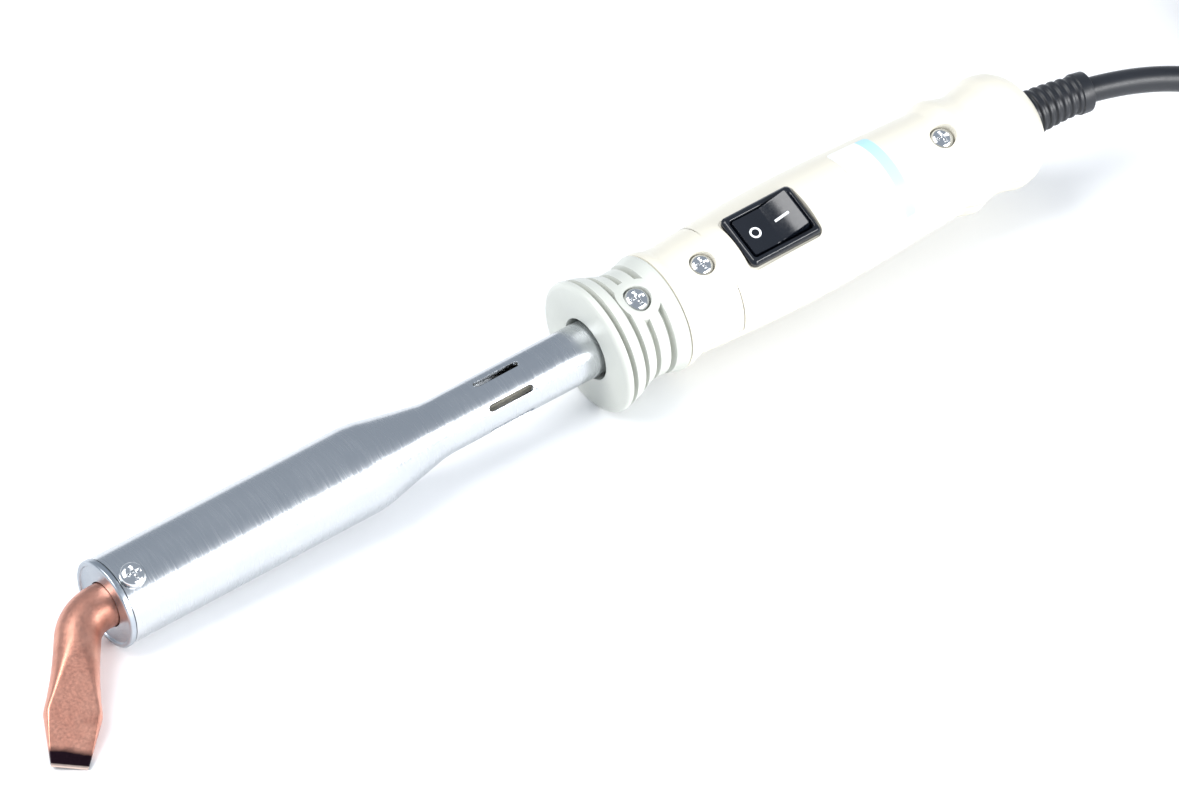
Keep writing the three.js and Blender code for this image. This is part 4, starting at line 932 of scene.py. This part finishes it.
barrelSet = {
    "radius": 11.25, "wall": 0.9, "start": 1.9, "end": 160.3,
    "taper": [[74, 11.25], [77, 10.95], [82, 9.95], [88, 8.7], [92.5, 7.85], [95.5, 7.3], [98.2, 7.1]],
    "slots": 6, "slotHalf": (6.5, 0.9), "slotPlace": 115.4, "slotTurn": -22, "edge": 0.14,
    "screwPlace": 5.4, "screwTurn": 6.5, "holeRadius": 1.95,
}
capSet = {
    "radius": 11.45, "rim": 1.6, "rimWidth": 1.1, "faceDepth": 0.5, "bore": 5.95, "spigot": 10.05,
    "length": 10.0,
}
capLine = softCorners([
    [capSet["faceDepth"], capSet["bore"]],
    [capSet["faceDepth"], capSet["radius"] - capSet["rimWidth"] - 0.25],
    [0, capSet["radius"] - capSet["rimWidth"]], [0, capSet["radius"] - 0.35],
    [0.35, capSet["radius"]], [capSet["rim"], capSet["radius"]], [capSet["rim"], capSet["spigot"]],
    [capSet["length"], capSet["spigot"]], [capSet["length"], capSet["bore"]],
    [capSet["faceDepth"] + 0.02, capSet["bore"]],
], 0.12)
capPiece = makePiece("nose_cap", [turned(capLine, 128)], finishes["turned nickel"],
                     stands=["barrel_cap"], sharp=28)


# Drills a piece with a round cutter standing along z of the barrel at a place and turn.
def drill(piece, place, turn, radius, low, high):
    line = np.array([[low, 0], [low, radius], [high, radius], [high, 0]], float)
    points, wrap = turned(line, 40)
    local = np.stack([points[..., 1], points[..., 2], points[..., 0]], -1)
    cutter = makePiece("cutter", onBarrel([(local, wrap)], place, turn), finishes["turned nickel"])
    cut = piece.modifiers.new("drill", "BOOLEAN")
    cut.operation, cut.solver, cut.object = "DIFFERENCE", "EXACT", cutter
    bpy.context.view_layer.update()
    seen = piece.evaluated_get(bpy.context.evaluated_depsgraph_get())
    bored = bpy.data.meshes.new_from_object(seen)
    piece.modifiers.clear()
    piece.data = bored
    bpy.data.objects.remove(cutter)


drill(capPiece, barrelSet["screwPlace"], math.radians(barrelSet["screwTurn"]), barrelSet["holeRadius"],
      5, 14)


# The barrel and neck: a drawn tube, its profile following the taper's knots, in six sectors
# with a round-ended slot on each ridge. Each slot's lip is rounded, and its wall goes through.
def barrelSkins():
    x = np.concatenate([np.linspace(barrelSet["start"], 74, 60)[:-1], np.linspace(74, 98.2, 50)[:-1],
                        np.linspace(98.2, barrelSet["end"], 60)])
    wall = barrelSet["wall"]
    outer = np.column_stack([x, throughKnots(barrelSet["taper"], x)])
    outer[x <= 74, 1], outer[x >= 98.2, 1] = barrelSet["radius"], 7.1
    inner = outer - [0, wall]
    edge = barrelSet["edge"]
    halfLength, halfWidth = barrelSet["slotHalf"]
    lips = [halfSlot(barrelSet["slotPlace"], halfLength + e, halfWidth + e) for e in (edge, 0.3 * edge, 0)]
    sheets = []
    for i in range(barrelSet["slots"]):
        middle = math.radians(barrelSet["slotTurn"]) + 2 * math.pi * i / barrelSet["slots"]
        limit = math.pi / barrelSet["slots"]
        sheets += ridgedSkin(outer, [lips[0]], middle, limit, 12)
        sheets += ridgedSkin(inner, [lips[2]], middle, limit, 12)
        sheets.append(ringWalls([
            (lips[0], heightOn(outer, lips[0])), (lips[1], heightOn(outer, lips[1]) - 0.3 * edge),
            (lips[2], heightOn(outer, lips[2]) - edge), (lips[2], heightOn(inner, lips[2])),
        ], middle))
    for end in (0, -1):
        rim = np.array([outer[end], inner[end]])
        shift = math.radians(barrelSet["slotTurn"])
        share = np.linspace(0, 1, 12)
        fan = (np.arange(6)[:, None, None] * 2 + np.array([1, -1])[None, :, None] * share) * limit
        turns = np.unique(np.round(np.concatenate([fan[:, 0, :-1].ravel(), fan[:, 1, :0:-1].ravel()])
                                   % (2 * np.pi), 9))
        r = rim[:, 1:]
        angle = shift + turns
        sheets.append((np.stack([rim[:, :1] + 0 * angle, -r * np.sin(angle), r * np.cos(angle)], -1), True))
    return sheets


barrelPiece = makePiece("barrel_spun", barrelSkins(), finishes["satin nickel"], stands=["barrel_tube"],
                        sharp=40)
drill(barrelPiece, barrelSet["screwPlace"], math.radians(barrelSet["screwTurn"]),
      barrelSet["holeRadius"], 9, 14)


# Pan head screw with a cross recess, its head's underside at z = 0: a star-shaped outline is
# scaled down for the recess, and grows to circles over the crown z = h (1 - (r/R)^5 / 2).
def panHead(radius, height, shank, length, recess=0.55):
    arm, half_ = 0.6 * radius, 0.15 * radius
    star = [[arm, half_], [half_, half_], [half_, arm], [-half_, arm], [-half_, half_], [-arm, half_],
            [-arm, -half_], [-half_, -half_], [-half_, -arm], [half_, -arm], [half_, -half_],
            [arm, -half_]]
    star = softCorners(star, 0.08 * radius, 4, closed=True)
    star = evenly(np.vstack([star, star[:1]]), lengthAlong(np.vstack([star, star[:1]]))[-1] / 96)[:96]
    around = np.arctan2(star[:, 1], star[:, 0])
    circle = np.column_stack([np.cos(around), np.sin(around)])
    crown = lambda ring: height * (1 - 0.5 * (np.linalg.norm(ring, axis=1) / radius) ** 5)
    floor_ = height * (1 - recess)
    lip = star * 1.05
    rings = [
        (star * 0, 0 * around + floor_ - 0.12), (star * 0.5, 0 * around + floor_),
        (star * 0.93, crown(star) - 0.12), (star, crown(star) - 0.04), (lip, crown(lip)),
    ]
    for share in (0.25, 0.5, 0.75, 1.0):
        ring = lip * (1 - share) + circle * 0.66 * radius * share
        rings.append((ring, crown(ring)))
    for share in (0.78, 0.88, 0.95):
        rings.append((circle * radius * share, crown(circle * radius * share)))
    side = [[1.0, height * 0.46], [1.0, 0.12], [0.97, 0.0]]
    rings += [(circle * radius * r, 0 * around + z) for r, z in side]
    rings += [(circle * shank, 0 * around), (circle * shank, 0 * around - length),
              (circle * 0, 0 * around - length)]
    return [(np.array([np.column_stack([ring, z]) for ring, z in rings]), True)]


largeHead = {"radius": 3.2, "height": 2.1, "shank": 1.6}
smallHead = {"radius": 2.9, "height": 1.8, "shank": 1.6}
bitSeat = barrelSet["radius"] + 0.3
makePiece("bit_screw_pan", onBarrel(panHead(length=bitSeat - 5.95, **largeHead), barrelSet["screwPlace"],
                                    math.radians(barrelSet["screwTurn"]), bitSeat),
          finishes["bright nickel"], body="clamp_screw", stands=["bit_screw"], sharp=38)
print("barrel made")


# ---- vented collar ----

collarSet = {
    "front": 141.8, "end": 162.5, "hole": 8.2, "waist": 14.1, "bulge": 3.32, "cavity": 10.7,
    "grooves": 4, "grooveWidth": 1.5, "pitch": 4.5, "first": 2.6, "floor": 11.9, "draft": 0.09,
    "boss": 5.8, "screw": 12.5, "well": 3.55, "holeRadius": 1.95,
    "shoulder": [[0, 0.55], [0.25, 0.82], [0.8, 0.96], [1.6, 1], [3.4, 0.87], [5.6, 0.7], [7.4, 0.48],
                 [9.2, 0.25], [11, 0.08], [12.6, 0], [15, 0.02], [17.2, 0.14], [19.2, 0.31],
                 [20.2, 0.39], [20.5, 0.385], [20.7, 0.33]],
}


# The collar: a rounded disc, a hollow waist and a flange. Grooves are let into the turned
# profile between drafted walls, and end at the round boss of the screw, whose patch keeps
# the plain profile; walls along the boss's circle join the two.
def collarSkins():
    start = collarSet["front"]
    knots = np.array(collarSet["shoulder"])
    body = lambda place: collarSet["waist"] + collarSet["bulge"] * throughKnots(knots, place)
    half_, draft = collarSet["grooveWidth"] / 2, collarSet["draft"]
    centre = collarSet["screw"]
    boss = collarSet["boss"]
    circleX = centre - boss * np.cos(np.linspace(0, np.pi, 41))
    x = np.unique(np.round(np.concatenate([np.linspace(0, 20.7, 84), circleX]), 5))
    for i in range(collarSet["grooves"]):
        middle = collarSet["first"] + i * collarSet["pitch"]
        x = x[np.abs(np.abs(x - middle) - half_) > 0.22]
        lips = middle + np.array([-half_ - 0.16, -half_ - 0.05, -half_, -half_ + draft, -half_ + 0.3])
        x = np.sort(np.concatenate([x, lips, 2 * middle - lips]))
    x = np.unique(np.concatenate([x, [centre - boss, centre + boss]]))
    plain = body(x)
    r = plain.copy()
    for i in range(collarSet["grooves"]):
        off = np.abs(x - collarSet["first"] - i * collarSet["pitch"])
        inside = off <= half_ - draft + 1e-6
        r[inside] = collarSet["floor"] + 0.25 * smoothStep((off[inside] - half_ + 0.3) / 0.3) ** 2
        r[np.abs(off - half_) < 1e-6] -= 0.14
        r[np.abs(off - half_ - 0.05) < 1e-6] -= 0.03
    grooved = np.column_stack([start + x, r])
    smooth = np.column_stack([start + x, plain])
    xc = start + centre
    within = np.abs(x - centre) <= boss + 1e-9
    width = np.sqrt(np.maximum(boss**2 - (x[within] - centre) ** 2, 0))
    circle = np.column_stack([start + x[within], width])
    skins = ridgedSkin(grooved, [circle], limit=np.pi, columns=110)
    # patch: from the boss's circle in to the well's lip, down the well, over its floor
    around = np.arctan2(circle[:, 1], circle[:, 0] - xc)
    unit = np.column_stack([np.cos(around), np.sin(around)])
    ringAt = lambda radius: np.column_stack([xc + radius * unit[:, 0], radius * np.maximum(unit[:, 1], 0)])
    low = heightOn(grooved, circle)
    levels = [(circle, low), (circle, heightOn(smooth, circle))]
    well = collarSet["well"]
    for share in (0.02, 0.08, 0.3, 0.6, 1.0):
        ring = ringAt(boss + (well + 0.18 - boss) * share)
        levels.append((ring, heightOn(smooth, ring)))
    levels.append((ringAt(well + 0.05), heightOn(smooth, ringAt(well + 0.05)) - 0.05))
    levels.append((ringAt(well), heightOn(smooth, ringAt(well)) - 0.18))
    levels.append((ringAt(well), collarSet["floor"] + 0.1))
    levels.append((ringAt(well - 0.1), collarSet["floor"]))
    levels.append((ringAt(1.95), collarSet["floor"]))
    levels.append((ringAt(1.95), collarSet["floor"] - 0.6))
    levels.append((ringAt(0), collarSet["floor"] - 0.6))
    patch = ringWalls(levels)
    # front face and the inside: hole, cavity, spigot with its lip
    inside = softCorners([
        [start, r[0]], [start, collarSet["hole"]], [start + 3, collarSet["hole"]],
        [start + 3, collarSet["cavity"]], [160.6, collarSet["cavity"]], [160.6, 7.9], [167.9, 7.9],
        [167.9, 11], [166.3, 11], [166.3, 9.4], [162.5, 9.4], [162.5, r[-1]],
    ], 0.2)
    turn = np.linspace(0, np.pi, 110)
    turn = np.concatenate([turn, 2 * np.pi - turn[-2:0:-1]])
    lining = np.stack([inside[:, :1] + 0 * turn, -inside[:, 1:] * np.sin(turn),
                       inside[:, 1:] * np.cos(turn)], -1)
    return [*skins, patch, (lining, True)]


makePiece("vent_collar_moulded", collarSkins(), finishes["grey lacquered plastic"],
          stands=["vent_collar"], sharp=38)
collarSeat = collarSet["floor"] + 0.3
makePiece("collar_screw_pan", onBarrel(panHead(length=collarSeat - 7.7, **largeHead),
                                       collarSet["front"] + collarSet["screw"], 0.0, collarSeat),
          finishes["bright nickel"], stands=["collar_screw"], sharp=38)
print("collar made")


# ---- handle ----

handleSet = {
    "front": 162.8, "length": 113.3, "wall": 2.4, "frontWall": 3.2, "rearWall": 4.6, "parting": 0.15,
    "frontBore": 9.7, "rearBore": 6.2, "screws": (11.1, 84.7), "well": 3.25, "boss": 4.4,
    "hole": 1.95, "edge": 0.22,
    "skin": [[0, 15.38], [1.4, 15.3], [3.6, 14.6], [6.4, 14.28], [11, 14.62], [19.5, 15.1], [31, 15.6],
             [42, 15.72], [52.5, 15.5], [64, 15.02], [74, 14.5], [83.6, 14.08], [84.6, 14.06],
             [86.6, 14.75], [89, 15.3], [91.6, 14.6], [95.6, 13.68], [99.5, 14.2], [103.4, 15.15],
             [106.8, 14.55], [109.4, 13.1], [111.4, 11.2], [112.8, 8.8]],
}
switchSet = {
    "top": 15.6, "bezel": (10.5, 7.5, 1.5), "bezelThickness": 2.0, "body": (9.5, 6.4), "foot": -3,
    "opening": (8.8, 5.5), "gap": 0.3,
}


def handleRadius(behind):
    return throughKnots(handleSet["skin"], behind)


def handleLines():
    x = np.linspace(0, 112.8, 300)
    skin = np.column_stack([x, handleRadius(x)])
    end = handleSet["length"]
    outer = np.vstack([[[0, handleSet["frontBore"]], [0, skin[0, 1] - 0.5], [0.12, skin[0, 1] - 0.15]],
                       skin[2:], [[113.15, 8.0], [end, 7.4], [end, handleSet["rearBore"]]]])
    inX = np.linspace(handleSet["frontWall"], end - handleSet["rearWall"], 140)
    inner = np.vstack([[[0, handleSet["frontBore"]], [handleSet["frontWall"], handleSet["frontBore"]]],
                       np.column_stack([inX, handleRadius(inX) - handleSet["wall"]]),
                       [[end - handleSet["rearWall"], handleSet["rearBore"]],
                        [end, handleSet["rearBore"]]]])
    return outer + [handleSet["front"], 0], inner + [handleSet["front"], 0]


# The switch side: outer and inner skins with the screw wells and the switch's pocket on the
# ridge, each well going on as a boss tube down to the parting plane.
def upperHandle():
    outer, inner = handleLines()
    edge = handleSet["edge"]
    wells = [handleSet["front"] + place for place in handleSet["screws"]]
    pocketX, pocketY, corner = switchSet["bezel"]
    gapAround = switchSet["gap"]
    pocket = lambda grow: halfRectangle(layout["switchPlace"], pocketX + gapAround + grow,
                                        pocketY + gapAround + grow, corner + gapAround + grow)
    mouth = halfRectangle(layout["switchPlace"], switchSet["body"][0] + gapAround,
                          switchSet["body"][1] + gapAround, 0.9)
    frontMouth, rearMouth = (halfCircle(x, handleSet["well"] + edge) for x in wells)
    frontBoss, rearBoss = (halfCircle(x, handleSet["boss"]) for x in wells)
    openings = [frontMouth, pocket(edge), rearMouth]
    innerOpenings = [frontBoss, mouth, rearBoss]
    sheets = ridgedSkin(outer, openings, columns=56, spread=5, plane=handleSet["parting"], rounding=0.25)
    sheets += ridgedSkin(inner, innerOpenings, columns=30, spread=4, plane=handleSet["parting"])
    for x, place in zip(wells, handleSet["screws"]):
        seat = float(handleRadius(np.array([place]))[0]) - smallHead["height"] - 0.65
        rings = [halfCircle(x, handleSet["well"] + e) for e in (edge, 0.3 * edge, 0)]
        hole, bossRing = halfCircle(x, handleSet["hole"]), halfCircle(x, handleSet["boss"])
        sheets.append(ringWalls([
            (rings[0], heightOn(outer, rings[0])), (rings[1], heightOn(outer, rings[1]) - 0.3 * edge),
            (rings[2], heightOn(outer, rings[2]) - edge), (rings[2], seat),
            (hole, seat), (hole, handleSet["parting"]), (bossRing, handleSet["parting"]),
            (bossRing, heightOn(inner, bossRing)),
        ]))
    seat = switchSet["top"] - switchSet["bezelThickness"] - gapAround
    rims = [pocket(e) for e in (edge, 0.3 * edge, 0)]
    sheets.append(ringWalls([
        (rims[0], heightOn(outer, rims[0])), (rims[1], heightOn(outer, rims[1]) - 0.3 * edge),
        (rims[2], np.minimum(heightOn(outer, rims[2]) - edge, 30)),
        (rims[2], np.minimum(seat, heightOn(outer, rims[2]) - edge - 0.01)),
        (mouth, seat), (mouth, heightOn(inner, mouth)),
    ]))
    return sheets


# The plain side: outer and inner skins from one parting edge to the other, middle at turn pi.
def lowerHandle():
    outer, inner = handleLines()
    sheets = ridgedSkin(outer, (), np.pi, columns=40, plane=handleSet["parting"], rounding=0.25)
    return sheets + ridgedSkin(inner, (), np.pi, columns=30, plane=handleSet["parting"])


for name, skins, node in (("handle_switch_side", upperHandle(), "handle_upper"),
                          ("handle_plain_side", lowerHandle(), "handle_lower")):
    makePiece(name, skins, finishes["beige moulded plastic"], stands=[node],
              sharp=38, fillHoles=True)
for place, node in zip(handleSet["screws"], ("handle_screw_front", "handle_screw_rear")):
    seat = float(handleRadius(np.array([place]))[0]) - smallHead["height"] - 0.65 + 0.3
    makePiece(node + "_pan", onBarrel(panHead(length=seat + 7, **smallHead), handleSet["front"] + place,
                                      0.0, seat),
              finishes["bright nickel"], stands=[node], sharp=38)
print("handle made")


# ---- switch ----

def switchShell():
    top, foot = switchSet["top"], switchSet["foot"]
    bezelX, bezelY, corner = switchSet["bezel"]
    bodyX, bodyY = switchSet["body"]
    openX, openY = switchSet["opening"]
    under = top - switchSet["bezelThickness"]
    levels = [
        [0, 0, 0, foot], [bodyX, bodyY, 0.8, foot], [bodyX, bodyY, 0.8, under],
        [bezelX, bezelY, corner, under], [bezelX, bezelY, corner, top - 0.75],
        [bezelX - 0.75, bezelY - 0.75, corner - 0.6, top], [openX + 0.45, openY + 0.45, 1.0, top],
        [openX, openY, 0.7, top - 0.5], [openX, openY, 0.7, foot + 2], [0, 0, 0, foot + 2],
    ]
    points, wrap = rectangleRings(softCorners(levels, 0.22, 4))
    return points + [layout["switchPlace"], 0, 0], wrap


makePiece("switch_shell", [switchShell()], finishes["black polycarbonate"], stands=["switch_body"],
          sharp=34)

rockerSet = {"swing": 21, "drop": 2.4, "halfWidth": 5.2, "dish": 0.22, "trunnion": (1.0, 6.1),
             "plunger": (1.1, 8.2)}
halfSwing = math.radians(rockerSet["swing"] / 2)  # the V leans by this at rest


# The rocker's outline: a V of two faces, each dished a little, over a rounded foot; turned by
# half its swing about the pivot, and carried across its width with soft side edges.
def rockerOutline():
    reach = switchSet["opening"][0] - switchSet["gap"]
    level = rockerSet["drop"] + 0.2
    cornerX = reach * math.cos(halfSwing) - level * math.sin(halfSwing)
    cornerZ = reach * math.sin(halfSwing) + level * math.cos(halfSwing)
    valley = cornerZ - cornerX * math.tan(halfSwing)
    share = np.linspace(0, 1, 16)
    topX = share * cornerX
    topZ = valley + (cornerZ - valley) * share - rockerSet["dish"] * np.sin(np.pi * share)
    down = [[reach - 0.25, 1.6], [reach - 0.6, -1.2], [6, -4], [2.2, -5.5]]
    right_ = np.vstack([np.column_stack([topX, topZ]), down])
    whole = np.vstack([right_, right_[:0:-1] * [-1, 1]])
    return softCorners(whole, 0.35, 4, closed=True), np.column_stack([topX, topZ])


def turnRocker(points):
    x, z = points[..., 0], points[..., 2]
    cos, sin = math.cos(-halfSwing), math.sin(-halfSwing)
    turnedX, turnedZ = x * cos + z * sin, -x * sin + z * cos
    return np.stack([turnedX + layout["switchPlace"], points[..., 1], turnedZ + layout["pivotHeight"]], -1)


def rockerBody():
    line, _ = rockerOutline()
    centre = line.mean(0)
    outward = line - centre
    outward /= np.linalg.norm(outward, axis=1, keepdims=True)
    half_ = rockerSet["halfWidth"]
    steps = [(-half_, None), (-half_, 0.35), (-half_ + 0.1, 0.1), (-half_ + 0.35, 0.0),
             (half_ - 0.35, 0.0), (half_ - 0.1, 0.1), (half_, 0.35), (half_, None)]
    rings = []
    for y, inset in steps:
        ring = np.tile(centre, (len(line), 1)) if inset is None else line - outward * inset
        rings.append(np.column_stack([ring[:, 0], 0 * ring[:, 0] + y, ring[:, 1]]))
    body = [(turnRocker(np.array(rings)), True)]
    radius, reach = rockerSet["trunnion"]
    line = softCorners([[-reach, 0], [-reach, radius], [reach, radius], [reach, 0]], 0.15)
    points, wrap = turned(line, 24)
    body.append((turnRocker(points[..., [1, 0, 2]]), wrap))
    radius, low = rockerSet["plunger"]
    line = softCorners([[-low, 0], [-low, radius], [-4.5, radius], [-4.5, 0]], 0.3)
    points, wrap = turned(line, 24)
    body.append((turnRocker(points[..., [1, 2, 0]]), wrap))
    return body


makePiece("rocker_button", rockerBody(), finishes["black polycarbonate"], body="rocker",
          stands=["switch_rocker"], sharp=34)


# The marks, a ring and a bar, printed on the two faces: flat outlines lifted 0.04 mm over the
# face's own curve.
def printedMark(outlines, middle):
    _, top = rockerOutline()
    curve = np.vstack([top[:0:-1] * [-1, 1], top])
    levels = []
    for outline, lift in outlines:
        z = np.interp(outline[:, 0] + middle, curve[:, 0], curve[:, 1]) + lift
        levels.append(np.column_stack([outline[:, 0] + middle, outline[:, 1], z]))
    return turnRocker(np.array(levels)), True


markAngle = np.linspace(0, 2 * np.pi, 48, endpoint=False)
markCircle = np.column_stack([np.cos(markAngle), np.sin(markAngle)])
ringMark = printedMark([(markCircle * 0.98, -0.05), (markCircle * 0.98, 0.03), (markCircle * 1.5, 0.03),
                        (markCircle * 1.5, -0.05), (markCircle * 0.98, -0.05)], -4.4)
barRing = rectangleRings([[2.0, 0.33, 0.12, 0]])[0][0, :, :2]
barMark = printedMark([(barRing * 0, 0.03), (barRing, 0.03), (barRing, -0.05), (barRing * 0, -0.05)], 3.4)
makePiece("rocker_marks", [ringMark, barMark], finishes["white print"], body="rocker",
          sharp=60)
print("switch made")


# ---- label ----

labelSet = {"start": 57, "length": 11.9, "turns": (-44, 56), "lift": 0.05, "thickness": 0.12,
            "corner": 1.0, "white": 8.7}


# The label: a rounded rectangle bent round the handle, (x, turn) to radius r(x) + lift.
def labelFilm():
    x0, length = labelSet["start"], labelSet["length"]
    first, last = np.radians(labelSet["turns"])
    middle, reach = (first + last) / 2, (last - first) / 2
    along_ = np.linspace(0, 1, 26)
    place = x0 + length * along_
    radius = handleRadius(place)
    fromEnd = np.minimum(along_, 1 - along_) * length
    corner = labelSet["corner"]
    cut = corner - np.sqrt(np.maximum(corner**2 - np.maximum(corner - fromEnd, 0) ** 2, 0))
    extent = reach - cut / radius
    across_ = np.linspace(-1, 1, 81)
    turn = middle + extent[:, None] * across_
    faces = []
    for lift in (labelSet["lift"] + labelSet["thickness"], labelSet["lift"]):
        r = radius[:, None] + lift
        faces.append(np.stack([place[:, None] + handleSet["front"] + 0 * turn, -r * np.sin(turn),
                               r * np.cos(turn)], -1))
    return [(np.concatenate([faces[0], faces[1][:, ::-1]], axis=1), True)]


# polyester film, printed: white with a pale blue band behind, faint gloss
def printedLabel():
    material, tree, shade, shader, place = mottled("printed polyester film", {
        "colours": (0xEAF3F5, 0xF3F8F9), "roughness": (0.28, 0.4), "patch": 5, "grain": 0.8,
        "depth": 0.002, "shader": {"IOR": 1.57},
    })
    apart = addNode(tree, "ShaderNodeSeparateXYZ", links={"Vector": place})
    border = handleSet["front"] + labelSet["start"] + labelSet["white"]
    band = addNode(tree, "ShaderNodeMapRange", values={"From Min": border - 0.05, "From Max": border + 0.05},
                   links={"Value": apart.outputs["X"]})
    banded = addNode(tree, "ShaderNodeMix", {"data_type": "RGBA"}, {"B": colour(0xB4DDEC)},
                     {"Factor": band.outputs["Result"], "A": shade.outputs["Result"]})
    tree.links.new(banded.outputs["Result"], shader.inputs["Base Color"])
    return material


finishes["printed polyester film"] = printedLabel()
makePiece("handle_label_film", labelFilm(), finishes["printed polyester film"], stands=["handle_label"],
          sharp=50, fillHoles=True)


# ---- inner pieces that keep their own shape ----

# green and yellow stripes of the earth wires, drawn wide enough to tell apart
def stripedEarth():
    material, tree, shade, shader, place = mottled("green-yellow wire PVC", {
        "colours": (0xC9B92E, 0xD8C93C), "roughness": (0.4, 0.52), "patch": 3, "grain": 0.4,
        "depth": 0.004, "shader": {"IOR": 1.52},
    })
    stripes = addNode(tree, "ShaderNodeTexWave", {"bands_direction": "DIAGONAL"},
                      {"Scale": 0.35, "Distortion": 0.4}, {"Vector": place})
    mixed = addNode(tree, "ShaderNodeMix", {"data_type": "RGBA"}, {"B": colour(0x2F7A3A)},
                    {"Factor": stripes.outputs["Fac"], "A": shade.outputs["Result"]})
    tree.links.new(mixed.outputs["Result"], shader.inputs["Base Color"])
    return material


finishes["green-yellow wire PVC"] = stripedEarth()
innerFinishes = {
    "steatite ceramic": ["heater_former", "rear_insulator", "terminal_block", "cord_clamp"],
    "oxidised nichrome": ["heater_winding"],
    "mica paper": ["mica_wrap"],
    "turned nickel": ["neck_bush"],
    "stamped brass": ["earth_tag", "contact_lever", "switch_blade_common", "switch_blade_load"],
    "glass sleeving": ["heater_lead_live", "heater_lead_neutral"],
    "bright nickel": ["clamp_screw_left", "clamp_screw_right"],
    "brown wire PVC": ["wire_live", "wire_switched"],
    "blue wire PVC": ["wire_neutral"],
    "green-yellow wire PVC": ["wire_earth_front", "wire_earth"],
}
for finishName, names in innerFinishes.items():
    for name in names:
        bpy.data.objects[name].material_slots[0].material = finishes[finishName]
